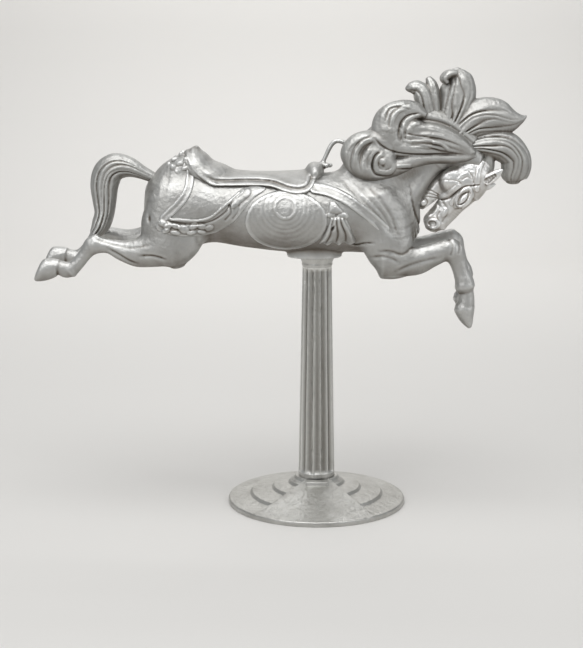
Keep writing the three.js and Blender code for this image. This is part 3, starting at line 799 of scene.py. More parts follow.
clay = Clay((270, -70, 785), (560, 70, 1062), 1.6 * GRAIN)
limb(clay, head_rows(SKULL), 4)
limb(clay, head_rows(JAW), 5)
for side in (NEAR, FAR):
    for s, t, y, half, melt, turn in HEAD_LUMPS:
        x, z = on_head(s, t)
        egg(clay, (x, side * y, z), half, melt, turn)
for ear in EARS:
    limb(clay, head_rows(ear), 3)
    cup_ear(clay, head_rows(ear))
open_mouth(clay)
clay.swell(head_lines(*clay.plan()), soft_step(6, 22, np.abs(clay.y)))
cast(clay, "head", HEAD_METAL)

# %% [markdown]
# The mane is the horse's glory. On the near side two fat curls roll down the neck, with long
# locks between them that end in a tight spiral, a volute. The curls are smooth masses here, and
# their locks are drawn on them, as a carver first blocks out a curl and then cuts its locks.
# The far side has a few broad locks, since the side that faces the middle of a ride is plain.

# %% Masses of the mane
CREST = [
    (120, 1010, 34, 40), (165, 1060, 42, 46), (220, 1112, 44, 49), (290, 1140, 38, 48),
    (370, 1122, 36, 44), (440, 1072, 32, 40)]
NECK_CURL = [
    (304, 1152, 12, 24, -40), (272, 1164, 27, 30, -46), (234, 1158, 37, 34, -50),
    (204, 1134, 46, 36, -54), (200, 1098, 46, 36, -58), (220, 1066, 32, 32, -60),
    (266, 1054, 20, 28, -60), (320, 1050, 14, 24, -56), (385, 1046, 6, 16, -46)]
SHOULDER_CURL = [
    (380, 1030, 6, 14, -36), (330, 1029, 14, 22, -46), (270, 1022, 21, 28, -56),
    (212, 1004, 27, 32, -62), (150, 993, 28, 34, -68), (112, 1013, 31, 34, -68),
    (98, 1045, 32, 34, -66), (118, 1076, 28, 34, -64), (160, 1084, 25, 32, -62),
    (196, 1068, 20, 30, -64), (206, 1044, 14, 26, -66)]
CENTRE_LOCKS = [
    [(448, 1046, 6, 12, -34), (400, 1082, 14, 24, -42), (330, 1112, 17, 28, -50),
     (246, 1114, 13, 26, -57)],
    [(444, 1046, 6, 12, -36), (395, 1074, 13, 26, -45), (330, 1096, 14, 30, -54),
     (242, 1097, 13, 27, -58)],
    [(438, 1044, 6, 12, -38), (388, 1064, 12, 26, -47), (326, 1080, 12, 30, -56),
     (240, 1081, 12, 27, -59)],
    [(432, 1042, 6, 12, -38), (376, 1054, 10, 26, -48), (318, 1064, 10, 28, -57),
     (240, 1066, 10, 26, -60)]]
UNDER_LOCK = [
    (452, 1036, 12, 24, -20), (400, 1030, 16, 28, -38), (330, 1030, 16, 30, -46),
    (262, 1027, 14, 28, -54)]
FAR_LOCKS = [
    [(300, 1130, 16, 24, 36), (230, 1120, 32, 30, 47), (175, 1085, 34, 30, 57),
     (130, 1040, 28, 26, 65), (104, 1005, 8, 12, 71)],
    [(400, 1100, 16, 24, 34), (345, 1090, 32, 30, 41), (290, 1058, 32, 28, 49),
     (250, 1020, 24, 24, 57), (228, 990, 6, 10, 63)]]
print("masses of the mane:", 4 + len(CENTRE_LOCKS) + len(FAR_LOCKS))

# %% [markdown]
# Ridges and grooves follow the way the hair falls and fade out at both ends, so that no lock
# starts or stops with a step.

# %% Lines of the mane
VOLUTE = [
    (190, 1049), (171, 1039), (162, 1020), (166, 1002), (184, 993), (204, 994), (214, 1008),
    (213, 1023)]
HAIR_RIDGES = (                 # a line, its width and its height
    ([(153, 1098), (112, 1090), (84, 1072), (72, 1046), (72, 1015)], 24, 3.5),
    ([(158, 1088), (132, 1078), (116, 1062), (107, 1042), (104, 1010)], 14, 4.0),
    ([(150, 1062), (136, 1044), (130, 1020), (134, 992)], 14, 2.5),
    ([(252, 1186), (208, 1181), (190, 1168), (181, 1148), (179, 1124)], 15, 3.5),
    ([(268, 1180), (234, 1170), (216, 1154), (208, 1134), (209, 1112)], 14, 3.5),
    ([(296, 1150), (268, 1148), (247, 1136), (238, 1120), (236, 1098), (241, 1078)], 13, 4.0),
    ([(290, 1131), (274, 1129), (262, 1119)], 12, 3.0),
    ([(320, 1078), (345, 1073), (364, 1061), (378, 1050)], 11, 3.5),
    ([(220, 1011), (245, 1010), (268, 1010)], 13, 3.5), (VOLUTE, 15, 5.0))
HAIR_GROOVES = (                # a line, its width and its depth
    ([(152, 1100), (166, 1081), (186, 1064), (215, 1051), (250, 1045), (300, 1043), (350, 1044),
      (402, 1040)], 10, 4.5),
    ([(155, 1096), (122, 1084), (105, 1066), (95, 1042), (92, 1010), (104, 986)], 10, 3.5),
    ([(156, 1078), (136, 1064), (122, 1042), (118, 1014), (126, 988)], 11, 3.5),
    ([(180, 1053), (161, 1042), (153, 1020), (155, 1000), (166, 986), (196, 982)], 10, 5.5),
    ([(240, 1178), (204, 1172), (193, 1152), (189, 1126)], 9, 3.0),
    ([(262, 1170), (226, 1172), (206, 1156), (199, 1132), (200, 1104)], 10, 3.0),
    ([(290, 1158), (256, 1153), (239, 1141), (230, 1124), (226, 1098), (232, 1074)], 10, 4.0),
    ([(300, 1138), (272, 1138), (256, 1127), (248, 1108), (247, 1085), (256, 1066)], 10, 2.5),
    ([(250, 1101), (280, 1096), (318, 1093)], 8, 3.5),
    ([(248, 1084), (275, 1084), (306, 1085)], 8, 3.0),
    ([(256, 1069), (285, 1067), (318, 1062), (350, 1052)], 8, 3.0),
    ([(310, 1090), (345, 1086), (380, 1076), (410, 1062)], 9, 2.0),
    ([(300, 1120), (345, 1112), (390, 1094), (420, 1074)], 9, 1.6),
    ([(232, 1002), (262, 1003), (292, 1001)], 10, 3.0))
VOLUTE_EYE, VOLUTE_PIT = (181, 1025), (184, 1010)
SOFT_SWELLS = ((256, 1110), (254, 1091), (254, 1076), (226, 1078), (190, 1116), (208, 1112))


def hair_lines(px, pz):
    """Locks of the mane's near side as a height map."""
    height = relief(px, pz, bead, HAIR_RIDGES,
                    lambda share: soft_step(0, 0.12, share) * soft_step(1, 0.75, share))
    height += relief(px, pz, vee, HAIR_GROOVES,
                     lambda share: soft_step(0, 0.12, share) * soft_step(1, 0.7, share))
    height += pillow(np.hypot(px - VOLUTE_EYE[0], pz - VOLUTE_EYE[1]) - 10, 4.0, 9)
    height += vee(np.hypot(px - VOLUTE_PIT[0], pz - VOLUTE_PIT[1]), 18, 4.5)
    for x, z in SOFT_SWELLS:
        height += pillow(np.hypot((px - x) / 1.3, pz - z) - 9, 1.6, 9)
    return height


print("lines of the mane:", len(HAIR_RIDGES) + len(HAIR_GROOVES))

# %% Model the mane
clay = Clay((40, -120, 940), (480, 112, 1215), 2.2 * GRAIN)
limb(clay, CREST, 4, strands=4, depth=(0.10, 0.10))
for rows in FAR_LOCKS:
    limb(clay, rows, 3, strands=4, depth=(0.08, 0.18))
limb(clay, UNDER_LOCK, 6)
for rows in CENTRE_LOCKS:
    limb(clay, rows, 8)
limb(clay, NECK_CURL, 5)
limb(clay, SHOULDER_CURL, 4)
egg(clay, (162, -62, 1036), (60, 40, 46), 12)
egg(clay, (188, -74, 1020), (34, 32, 34), 8)
egg(clay, (260, -54, 1116), (40, 32, 34), 8)
clay.swell(hair_lines(*clay.plan()), soft_step(-30, -55, clay.y))
cast(clay, "mane", HAIR_METAL)

# %% [markdown]
# From the crest four plumes fly up and forward, and the forelock falls over the brow like a
# breaking wave. These stand free, so their strands are real grooves in each lock: many on the
# broad spear, few on the upright ones. The tallest ends in a small curl on each side.

# %% Plumes and forelock
BACK_PLUME = [
    (318, 1130, 28, 38), (308, 1180, 27, 37, -6), (299, 1210, 27, 33, -8), (285, 1226, 23, 28, -8),
    (270, 1228, 18, 24, -8), (258, 1226, 11, 16, -8), (252, 1225, 5, 8, -8)]
UPRIGHT_PLUME = [
    (334, 1140, 23, 37, 4), (332, 1195, 21, 35, 4), (326, 1234, 18, 29, 4), (316, 1256, 8, 14, 4)]
TALL_PLUME = [
    (372, 1100, 33, 42), (390, 1155, 45, 42, 2), (401, 1205, 53, 40, 4), (401, 1238, 49, 34, 4),
    (395, 1259, 38, 24, 4), (389, 1275, 20, 12, 4)]
SPEAR_PLUME = [
    (405, 1100, 40, 42), (450, 1134, 56, 42), (500, 1144, 57, 38), (550, 1136, 40, 31),
    (582, 1139, 16, 19), (600, 1147, 3, 6)]
FORELOCK = [
    (435, 1062, 20, 34), (488, 1066, 37, 42), (540, 1059, 46, 44), (571, 1030, 43, 42),
    (574, 1000, 44, 38), (567, 973, 37, 29), (566, 958, 20, 16)]
TIP_CURL = [
    (394, 1270, 9, 16, -22), (374, 1267, 11, 18, -26), (361, 1254, 10, 18, -28),
    (367, 1242, 7, 14, -28)]
FORELOCK_ROOT = (494, 0, 1020)  # between the ears
clay = Clay((230, -60, 930), (630, 60, 1294), 2.2 * GRAIN)
for rows, strands, depth, wander in (
        (UPRIGHT_PLUME, 2, (0.36, 0.20), 0.1), (BACK_PLUME, 3, (0.26, 0.12), 0.1),
        (TALL_PLUME, 5, (0.36, 0.12), 0.25), (SPEAR_PLUME, 7, (0.28, 0.04), 0.25),
        (FORELOCK, 6, (0.27, 0.10), 0.2)):
    limb(clay, rows, 2, strands=strands, depth=depth, wander=wander)
for side in (NEAR, FAR):
    limb(clay, [(x, z, w, t, side * y) for x, z, w, t, y in TIP_CURL], 4)
egg(clay, FORELOCK_ROOT, (17, 26, 38), 8, 0.2)
cast(clay, "plumes", HAIR_METAL)

# %% [markdown]
# The tail leaves the croup in an arch and falls behind the rump, in seven strands that open at
# the tip.

# %% Tail
TAIL = [
    (-462, 964, 14, 18), (-508, 986, 20, 24), (-545, 1001, 30, 30), (-580, 1002, 40, 35),
    (-606, 984, 43, 37), (-617, 950, 41, 38), (-618, 905, 35, 40), (-619, 868, 29, 45),
    (-630, 834, 27, 54), (-645, 810, 18, 58)]
clay = Clay((-672, -70, 780), (-440, 70, 1056), 2.2 * GRAIN)
limb(clay, TAIL, 2, strands=7, depth=(0.20, 0.20), steps=8, wander=0.2)
cast(clay, "tail", HAIR_METAL)

# %% [markdown]
# Saddle and harness lie on the body like thick leather on a real horse. Each is the body's own
# surface, lifted by the height drawn in side view and cut to its outline, so it follows every
# curve below it. The saddle crosses the back. Pommel and cantle are eggs, the grip is a bent
# bar with a knot of straps at its root, and a rosette of petals sits on the croup.

# %% Shapes of the saddle
SKIRT = [
    (-392, 1080), (-374, 1030), (-354, 996), (-330, 974), (-300, 956), (-262, 953), (-200, 954),
    (-135, 951), (-95, 938), (-62, 932), (-32, 936), (-13, 951), (-3, 975), (3, 1010), (6, 1090),
    (-190, 1150)]
PETALS = (                      # x, z and size
    (-424, 1010, 11), (-408, 1025, 12), (-391, 1036, 12), (-375, 1042, 10), (-411, 1003, 13),
    (-393, 1015, 13), (-376, 1024, 11), (-400, 991, 10), (-380, 1002, 11))
GRIP = [
    (10, 1004, 7, 7), (22, 1028, 6, 6), (34, 1054, 6.5, 6.5), (46, 1071, 6.5, 6.5),
    (62, 1076, 6.5, 6.5), (88, 1066, 6.5, 6.5)]
GRIP_KNOT = ((14, 0, 15), (4, -14, 10), (26, -10, 9), (4, 14, 10), (26, 10, 9), (36, 0, 8))


def lift(clay, edge, height, inner):
    """Keeps the body's surface, lifted by `height` inside an outline, as a skin that reaches
    `inner` below it."""
    body = clay.field
    clay.field = soft_max(body - height[:, None, :], edge[:, None, :] - 1.0, 2).astype(np.float32)
    clay.field = soft_max(clay.field, -(body + inner), 1)


def on_croup(x, z):
    """Half the croup's width at a place seen from the side."""
    dx, dz = x - CROUP_SPOT[0], z - CROUP_SPOT[1]
    u = dx * math.cos(CROUP_LEAN) + dz * math.sin(CROUP_LEAN)
    w = dz * math.cos(CROUP_LEAN) - dx * math.sin(CROUP_LEAN)
    left = max(1 - (u / CROUP_SIZE[0]) ** 2 - (w / CROUP_SIZE[2]) ** 2, 0.02)
    return CROUP_SIZE[1] * math.sqrt(left)


print("the petals lie", [round(on_croup(x, z)) for x, z, _ in PETALS], "mm out")

# %% Model the saddle
clay = Clay((-450, -130, 900), (110, 130, 1090), 2.2 * GRAIN)
lay_torso(clay)
edge = in_outline(*clay.plan(), SKIRT)
height = pillow(edge, 7.0, 5) + bead(edge + 7, 10, 1.6)
height += pillow(edge + 17, 5.0, 8) + bead(edge + 24, 9, 1.2)
lift(clay, edge, height, 7)
egg(clay, (-352, 0, 1002), (50, 84, 50), 10)
limb(clay, [(-362, 1020, 22, 60), (-352, 1048, 12, 40), (-348, 1060, 4, 20)], 16)
egg(clay, (-320, 0, 985), (70, 90, 34), 18)
egg(clay, (-8, 0, 985), (28, 66, 32), 9)
limb(clay, GRIP, 3)
for x, y, size in GRIP_KNOT:
    egg(clay, (x, y, 1006), (size, size, size * 0.8), 3)
for x, z, size in PETALS:
    for side in (NEAR, FAR):
        egg(clay, (x, side * on_croup(x, z), z), (size, 7, size * 0.7), 4, 0.7 + 0.05 * (x + z))
cast(clay, "saddle", HORSE_METAL)

# %% [markdown]
# The near side is dressed up. Under the saddle hangs a big oval medallion with turned rings.

# %% Medallion
MEDALLION = (-90, 857, 117, 88)
RING_CENTRE = (-92, 895)
RINGS = ((29, 1.6), (42, 0.5), (55, 0.6), (67, 0.8), (82, 0.4), (96, 0.4))      # radius, height


def medallion(px, pz):
    x, z, rx, rz = MEDALLION
    edge = (np.hypot((px - x) / rx, (pz - z) / rz) - 1) * min(rx, rz)
    height = pillow(edge, 3.5, 9) + bead(edge + 5, 9, 1.0)
    ring = np.hypot(px - RING_CENTRE[0], pz - RING_CENTRE[1])
    for radius, rise in RINGS:
        height += bead(ring - radius, 9, rise) * (edge < -7)
    return edge, height


print("medallion:", 2 * MEDALLION[2], "x", 2 * MEDALLION[3], "mm, with", len(RINGS), "rings")

# %% [markdown]
# A strap has a flat middle and raised rims, which a bead just inside its edge gives. Over the
# thigh hangs a swag: a soft sheet with a rolled upper rim, folds below it, and a fringe of
# flat tassels.

# %% Straps and swag
def band(px, pz, points, width, height, rim=2.0, sinks_from=2.0):
    """A strap with raised rims along a line. Past the share `sinks_from` of its length it sinks
    into the body."""
    distance, share = to_line(px, pz, points)
    edge = distance - width / 2
    sunk = 14 * np.clip(share - sinks_from, 0, 1)
    return edge, pillow(edge, height, 5) + bead(edge + 5, 10, rim) - sunk


DRAPE = [
    (-452, 860), (-410, 868), (-345, 864), (-308, 872), (-278, 896), (-246, 924), (-214, 948),
    (-180, 958), (-150, 952), (-150, 942), (-180, 923), (-202, 898), (-218, 878), (-238, 854),
    (-270, 834), (-300, 819), (-350, 812), (-400, 814), (-440, 824), (-462, 838)]
DRAPE_FOLDS = (
    ([(-250, 902), (-262, 884), (-292, 862), (-330, 850), (-380, 850), (-436, 862)], 9, 4.0),
    ([(-250, 902), (-236, 922), (-216, 944)], 8, 3.0),
    ([(-250, 900), (-247, 880), (-262, 862)], 10, 3.5),
    ([(-222, 902), (-226, 884), (-240, 866)], 10, 2.5))
DRAPE_ROLLS = (
    ([(-412, 868), (-345, 864), (-310, 872), (-280, 895), (-248, 921), (-218, 944)], 19, 5.0),
    ([(-240, 905), (-222, 920), (-200, 938)], 22, 4.0))
FRINGE = (                      # x, z, half sizes and turn
    (-441, 853, 17, 10, -0.6), (-424, 843, 15, 9, 0.6), (-402, 845, 15, 9, -0.3),
    (-380, 835, 18, 12, -0.5), (-352, 843, 15, 10, 0.5), (-330, 842, 14, 10, -0.4),
    (-432, 830, 15, 7, 0.3), (-404, 825, 15, 7, -0.2), (-308, 837, 13, 9, 0.3),
    (-358, 824, 14, 7, 0.2), (-330, 825, 12, 6, -0.2))


def drape(px, pz):
    """The cloth of the swag, with its folds, rolls and fringe."""
    edge = in_outline(px, pz, DRAPE, 3)
    height = pillow(edge, 5.0, 15) + relief(px, pz, vee, DRAPE_FOLDS)
    height += relief(px, pz, bead, DRAPE_ROLLS)
    for x, z, rx, rz, turn in FRINGE:
        dx, dz = px - x, pz - z
        u = (dx * math.cos(turn) + dz * math.sin(turn)) / rx
        v = (-dx * math.sin(turn) + dz * math.cos(turn)) / rz
        height += 4.5 * np.sqrt(np.clip(1 - u * u - v * v, 0, 1))
    return edge, height


print("tassels in the fringe:", len(FRINGE))

# %% [markdown]
# The breast band ends in a knot and a bow, with a fan of pleats that spreads below it. The
# pleats turn round the knot, so they are a wave of the angle about it.

# %% Breast knot
FAN = [
    (34, 870), (70, 872), (88, 850), (99, 822), (108, 796), (92, 786), (74, 794), (60, 784),
    (44, 794), (28, 784), (14, 792), (4, 790), (16, 816), (28, 846)]
KNOT = [(32, 914), (48, 913), (64, 897), (72, 884), (52, 877), (28, 884)]
PLEAT_CENTRE, PLEATS = (54, 905), 13


def fan(px, pz):
    edge = in_outline(px, pz, FAN)
    turn = np.arctan2(px - PLEAT_CENTRE[0], PLEAT_CENTRE[1] - pz)
    pleat = np.abs(np.sin(turn * PLEATS + 0.4 * np.sin(pz * 0.09)))
    return edge, pillow(edge, 5.0, 14) + 5.0 * pleat ** 0.7 * np.clip(-edge / 8, 0, 1)


def knot(px, pz):
    edge = in_outline(px, pz, KNOT, 2)
    return edge, pillow(edge, 8.0, 15)


def bow(px, pz):
    edge = 12 * (np.minimum(np.hypot((px - 70) / 17, (pz - 872) / 12),
                            np.hypot((px - 37) / 13, (pz - 876) / 10)) - 1)
    return edge, pillow(edge, 6.0, 14)


print("the knot's outline has", len(KNOT), "points and the fan's", len(FAN))

# %% Model the near-side harness
HIP_STRAP = [(-362, 1000), (-364, 962), (-374, 932), (-396, 903), (-436, 866)]
BREAST_BAND = [(-10, 950), (30, 942), (76, 922), (116, 895), (150, 868), (186, 834)]
EYELET = (42, 838)              # a small pit in the fan

clay = Clay((-480, -150, 745), (250, -10, 1010), 1.9 * GRAIN)
lay_torso(clay)
set_leg(clay, NEAR, THIGH, FAR_HIND, 26)
set_leg(clay, NEAR, SHOULDER, FAR_FORE, 24)
px, pz = clay.plan()
pieces = [medallion(px, pz), drape(px, pz), fan(px, pz), band(px, pz, HIP_STRAP, 26, 2.5, 1.2),
          band(px, pz, BREAST_BAND, 32, 5.0, 1.5, 0.5), knot(px, pz), bow(px, pz)]
edge = np.minimum.reduce([outline for outline, _ in pieces])
height = np.maximum.reduce([np.where(outline < 0, rise, -3) for outline, rise in pieces])
eyelet = np.hypot((px - EYELET[0] - (pz - EYELET[1]) * 0.5) / 5, (pz - EYELET[1]) / 10) - 1
height += np.where(eyelet < 0, 9 * eyelet, 0)
lift(clay, edge, height, 6)
clay.field = np.maximum(clay.field, (clay.y + 24)[None, :, None])
cast(clay, "harness", HORSE_METAL)

# %% [markdown]
# The pillar is a tapered column with hollow flutes, a plain band at each end and a turned cap.
# It repeats one flute round its axis, so one flute's strip is shaped by hand from a profile, a
# list of heights, radii and shares of the full flute depth.

# %% One flute of the pillar
FLUTES, FLUTE_DEPTH = 14, 6.5
FLUTE_FOOT, FLUTE_HEAD = 96.0, 708.0
FOOT_RADIUS, NECK_RADIUS = 54, 43
CAP = ((27, 0), (25, 0.4), (23, 1.8), (20, 2.2), (17, 1.6), (14, 2.4), (9, 4.4), (5, 6.2),
       (1, 7.0), (0, 6.4))      # below the top, and outside the neck's radius


def flute_profile(foot, top):
    low, high = FOOT_RADIUS - 0.2, NECK_RADIUS
    profile = [(foot, FOOT_RADIUS, 0), (92, FOOT_RADIUS, 0)]
    for t in np.linspace(0, 1, 9):
        profile.append((FLUTE_FOOT - 3 + 14 * t, low, math.sin(t * math.pi / 2)))
    for t in np.arange(1, 24) / 24:
        profile.append((FLUTE_FOOT + 11 + (FLUTE_HEAD - FLUTE_FOOT - 22) * t,
                        low + (high - low) * t, 1))
    for t in np.linspace(0, 1, 9):
        profile.append((FLUTE_HEAD - 11 + 14 * t, high, math.cos(t * math.pi / 2)))
    return profile + [(top - below, high + out, 0) for below, out in CAP]


def mesh_of(work, name):
    mesh = bpy.data.meshes.new(name)
    work.to_mesh(mesh)
    work.free()
    return mesh


def strip_of_flute(flutes, across=12):
    """One flute's strip of the pillar's skin, from foot to cap."""
    low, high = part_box("pillar")
    foot, top = low.z / MM, high.z / MM
    work = bmesh.new()
    rows = []
    for z, radius, share in flute_profile(foot, top):
        row = []
        for k in range(across + 1):
            u = k / across
            hollow = math.sin(math.pi * u) ** 0.8 if 0 < u < 1 else 0
            r = radius - FLUTE_DEPTH * share * hollow
            turn = 2 * math.pi / flutes * u
            row.append(work.verts.new((r * math.cos(turn) * MM, r * math.sin(turn) * MM, z * MM)))
        rows.append(row)
    for a, b in zip(rows[:-1], rows[1:]):
        for k in range(across):
            work.faces.new((a[k], a[k + 1], b[k + 1], b[k]))
    for row, z, turned in ((rows[0], foot, True), (rows[-1], top, False)):
        middle = work.verts.new((0, 0, z * MM))
        for k in range(across):
            face = (row[k], row[k + 1], middle)
            work.faces.new(face[::-1] if turned else face)
    return mesh_of(work, "pillar_shaft")


strip = strip_of_flute(FLUTES)
print("one flute:", len(strip.polygons), "faces")

# %% [markdown]
# Geometry Nodes set the strip round the axis: a point for each copy, all on the axis, each with
# its turn, and a weld where neighbours meet. The copies are made real at the end, because only
# real faces can be measured, welded and exported. The number of copies is the tree's input.

# %% Set the flutes round the axis
def round_axis(material):
    """A node tree that sets a strip round the Z axis and welds the copies."""
    tree = bpy.data.node_groups.new("set_round_axis", "GeometryNodeTree")
    sockets = tree.interface
    sockets.new_socket("Geometry", in_out="INPUT", socket_type="NodeSocketGeometry")
    count = sockets.new_socket("Copies", in_out="INPUT", socket_type="NodeSocketInt")
    sockets.new_socket("Geometry", in_out="OUTPUT", socket_type="NodeSocketGeometry")
    given = add_node(tree, "NodeGroupInput").outputs
    points = add_node(tree, "GeometryNodeMeshLine", {"mode": "OFFSET", "Offset": (0, 0, 0)},
                      {"Count": given["Copies"]})
    index = add_node(tree, "GeometryNodeInputIndex")
    share = add_node(tree, "ShaderNodeMath", {"operation": "DIVIDE"},
                     {0: index.outputs[0], 1: given["Copies"]})
    turn = add_node(tree, "ShaderNodeMath", {"operation": "MULTIPLY", 1: 2 * math.pi},
                    {0: share.outputs[0]})
    axis = add_node(tree, "ShaderNodeCombineXYZ", links={2: turn.outputs[0]})
    copies = add_node(tree, "GeometryNodeInstanceOnPoints", links={
        "Points": points.outputs[0], "Instance": given["Geometry"], "Rotation": axis.outputs[0]})
    real = add_node(tree, "GeometryNodeRealizeInstances", links={0: copies.outputs[0]})
    weld = add_node(tree, "GeometryNodeMergeByDistance", {"Distance": 0.02 * MM},
                    {0: real.outputs[0]})
    finish = add_node(tree, "GeometryNodeSetMaterial", {"Material": material},
                      {0: weld.outputs[0]})
    add_node(tree, "NodeGroupOutput", links={0: finish.outputs[0]})
    return tree, count.identifier


pillar = new_object("pillar_shaft", strip)
flutes = pillar.modifiers.new("flutes", "NODES")
flutes.node_group, copies_input = round_axis(PILLAR_METAL)
flutes[copies_input] = FLUTES
bpy.context.view_layer.update()
graph = bpy.context.evaluated_depsgraph_get()
whole = bpy.data.meshes.new_from_object(pillar.evaluated_get(graph))
pillar.modifiers.clear()
pillar.data = whole
print("pillar:", len(pillar.data.polygons), "faces")

# %% [markdown]
# The flutes are darkened with painted shade and the fillets between them painted lighter, as the
# horse's hollows are darkened, but this mesh was never a block of clay. How deep a point lies in
# its flute is its distance inside the column's taper.

# %% Finish the stand's pieces
def flute_painted_light(piece):
    """How deep each point of the shaft lies in its flute, as painted light: painted shade deep in
    the flutes and a painted lighter tone on the fillets.
    """
    points = np.empty(len(piece.data.vertices) * 3, np.float32)
    piece.data.vertices.foreach_get("co", points)
    x, y, z = points.reshape(-1, 3).T / MM
    crest = np.interp(z, (FLUTE_FOOT, FLUTE_HEAD), (FOOT_RADIUS, NECK_RADIUS))
    depth = np.clip((crest - np.hypot(x, y)) / FLUTE_DEPTH, 0, 1)
    fluted = (z > FLUTE_FOOT - 4) & (z < FLUTE_HEAD + 4)
    # painted shade deep in the flutes, a painted lighter tone on the fillets, a plain tone on the
    # bands and cap
    return np.where(fluted, 1.7 * depth - 0.7, 0.2)


def stand_piece(piece, node, hollow):
    layer = piece.data.attributes.new("hollow", "FLOAT", "POINT")
    layer.data.foreach_set("value", np.broadcast_to(
        hollow, len(piece.data.vertices)).astype(np.float32))
    piece.data.shade_smooth()
    piece.data.set_sharp_from_angle(angle=math.radians(35))
    settle(piece, node)


stand_piece(pillar, "pillar", flute_painted_light(pillar))
print("pillar_shaft rides on", BODY)

# %% [markdown]
# The foot is a turned plate whose rings step up to the seat of the pillar. A smooth ramp runs
# down its front over the steps. It could be a lathe profile with the ramp joined on. A height
# map is simpler, because the ramp is then only the higher of two heights.

# %% Height of the foot plate
BASE_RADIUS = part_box("base")[1].x / MM
SEAT_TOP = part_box("base")[1].z / MM
STEPS = ((196, 33), (131, 50), (82, 66), (66, SEAT_TOP))
RIM = 15.0
RAMP = [
    (34, -20), (34, -40), (170, -205), (170, -300), (-182, -300), (-182, -190), (-22, -40),
    (-22, -20)]


def foot_height(x, y):
    """Height of the foot plate's top at a place, in millimetres."""
    radius = np.hypot(x, y)
    height = np.full(radius.shape, RIM)
    outer, level = BASE_RADIUS - 6, RIM
    for edge, top in STEPS:
        rise_from = top - 9
        slope = level + (rise_from - level) * np.clip((outer - radius) / (outer - edge - 4), 0, 1)
        height = np.where((radius > edge) & (radius <= outer), slope, height)
        step = rise_from + (top - rise_from) * soft_step(edge + 4, edge - 4, radius)
        height = np.where(radius <= edge + 4, step, height)
        outer, level = edge - 4, top
    down = np.clip((BASE_RADIUS - 7 - radius) / (BASE_RADIUS - 73), 0, 1)
    ramp = RIM + (SEAT_TOP - 3 - RIM) * down
    inside = in_outline(x, y, RAMP, 1)
    height = height + (np.maximum(ramp, height) - height) * soft_step(2, -2, inside)
    round_off = np.clip((radius - (BASE_RADIUS - 6)) / 6, 0, 1)
    return height - 6 * (1 - np.sqrt(1 - round_off ** 2))


print("the foot plate is", 2 * round(BASE_RADIUS), "mm across and", round(SEAT_TOP), "mm high")

# %% [markdown]
# The height map is set on rings and spokes, with more rings where a step or the rim bends, and
# closed with a low wall and a flat sole.

# %% Foot plate
def make_foot(material, spokes=288):
    radii = np.unique(np.concatenate(
        [np.linspace(0.5, BASE_RADIUS, 72)]
        + [np.linspace(edge - 5, edge + 5, 9) for edge, _ in STEPS]
        + [BASE_RADIUS - 6 + 6 * np.sin(np.linspace(0, math.pi / 2, 7))]))
    turn = np.arange(spokes) * 2 * math.pi / spokes
    x, y = radii[:, None] * np.cos(turn), radii[:, None] * np.sin(turn)
    top = np.stack([x, y, foot_height(x, y)], axis=-1).reshape(-1, 3)
    wall = np.stack([x[-1], y[-1], np.full(spokes, 0.8)], axis=-1)
    sole = np.stack([x[-1] * 0.997, y[-1] * 0.997, np.zeros(spokes)], axis=-1)
    points = np.vstack([top, wall, sole, [[0, 0, SEAT_TOP], [0, 0, 0]]]) * MM
    centre_top, centre_sole = len(points) - 2, len(points) - 1
    last_row = centre_top - spokes
    faces = []
    for a in range(0, last_row, spokes):
        for k in range(spokes):
            n = (k + 1) % spokes
            faces.append((a + k, a + spokes + k, a + spokes + n, a + n))
    for k in range(spokes):
        n = (k + 1) % spokes
        faces += [(centre_top, k, n), (centre_sole, last_row + n, last_row + k)]
    mesh = bpy.data.meshes.new("foot_plate")
    mesh.from_pydata([tuple(point) for point in points], [], faces)
    mesh.update()
    return new_object("foot_plate", mesh, material)


foot = make_foot(STAND_METAL)
stand_piece(foot, "base", 0.0)
print("foot plate:", len(foot.data.polygons), "faces")

# %% [markdown]
# Before the pillar stands a small block, a seat cast on the plate. It is a box with rounded
# edges.

# %% Block on the foot
def soft_block(name, low, high, bevel, material):
    work = bmesh.new()
    bmesh.ops.create_cube(work, size=1)
    for vert in work.verts:
        for k in range(3):
            vert.co[k] = (low[k] if vert.co[k] < 0 else high[k]) * MM
    bmesh.ops.bevel(work, geom=list(work.edges), offset=bevel * MM, segments=3, affect="EDGES",
                    profile=0.5)
    return new_object(name, mesh_of(work, name), material)


block = soft_block("foot_block", (-33, -88, 40), (33, -50, 80), 2.5, STAND_METAL)
stand_piece(block, "base", -0.4)
print("block:", len(block.data.polygons), "faces")

# %% [markdown]
# The floor is plain and pale, and bends up into a wall behind the horse, so that no edge shows.
# The wall stands further off than any view of the horse's back.

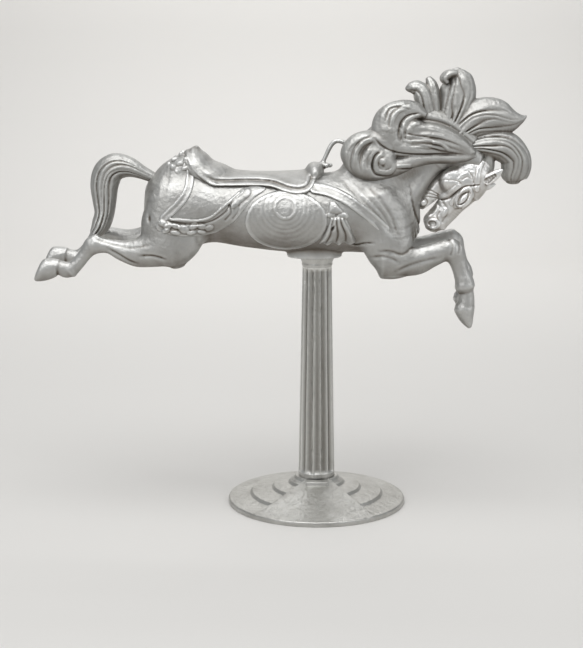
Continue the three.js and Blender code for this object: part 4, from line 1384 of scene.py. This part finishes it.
# %% Floor
COVE_START, COVE_BEND, WALL_TOP, HALF_FLOOR = 5.2, 1.5, 7.0, 9.0      # metres
bend = [(COVE_START + COVE_BEND * math.sin(a), COVE_BEND - COVE_BEND * math.cos(a))
        for a in np.linspace(0.1, math.pi / 2, 12)]
work = bmesh.new()
rows = [[work.verts.new((x, y, z)) for x in (-HALF_FLOOR, HALF_FLOOR)] for y, z in [
    (-HALF_FLOOR, 0), (COVE_START, 0), *bend, (COVE_START + COVE_BEND, WALL_TOP)]]
for a, b in zip(rows[:-1], rows[1:]):
    work.faces.new((a[0], a[1], b[1], b[0]))
paint = bpy.data.materials.new("pale_floor_paint")
paint.use_nodes = True
matt = paint.node_tree.nodes["Principled BSDF"].inputs
matt["Base Color"].default_value = linear("#dad8d5")
matt["Roughness"].default_value = 0.85
floor = new_object("studio_floor", mesh_of(work, "studio_floor"), paint)
floor.data.shade_smooth()
print("floor:", len(floor.data.polygons), "faces")

# %% [markdown]
# Polished metal shows what stands round it, so it needs something pale and broad to mirror: a
# large soft light above, a smaller one in front, a strip at the side, and a pale room.

# %% Light
def soft_light(name, place, aim, size, watts):
    data = bpy.data.lights.new(name, "AREA")
    data.shape = "RECTANGLE"
    data.size, data.size_y = size
    data.energy = watts
    lamp = new_object(name, data)
    lamp.location = place
    lamp.rotation_euler = (Vector(aim) - Vector(place)).to_track_quat("-Z", "Y").to_euler()


soft_light("overhead_softbox", (-0.3, -1.0, 3.6), (0, 0, 0.8), (3.6, 2.6), 76)
soft_light("front_softbox", (-2.4, -3.8, 2.6), (0, 0, 0.9), (2.0, 2.2), 25)
soft_light("side_strip", (3.2, -1.8, 1.9), (0.2, 0, 0.9), (0.9, 2.4), 14)
soft_light("backdrop_wash", (0, 3.8, 5.0), (0, 6.7, 1.2), (5.0, 1.2), 180)
world = bpy.data.worlds.new("studio_air")
world.use_nodes = True
air = world.node_tree.nodes["Background"].inputs
air["Color"].default_value = linear("#e9ebec")
air["Strength"].default_value = 0.53
bpy.context.scene.world = world
bpy.context.scene.view_settings.view_transform = "Standard"
print("lights:", [lamp.name for lamp in bpy.data.lights])

# %% [markdown]
# The camera stands a few steps back with a long lens, a little above the saddle, and looks
# slightly down.

# %% Camera
view = bpy.data.cameras.new("view")
view.sensor_width, view.lens = 36.0, 80.44
camera = new_object("view", view)
camera.location = (-0.075, -4.2, 1.3251)
camera.rotation_euler = (math.radians(90 - 10.6), 0, 0)
bpy.context.scene.camera = camera
print("camera:", [round(part, 2) for part in camera.location])
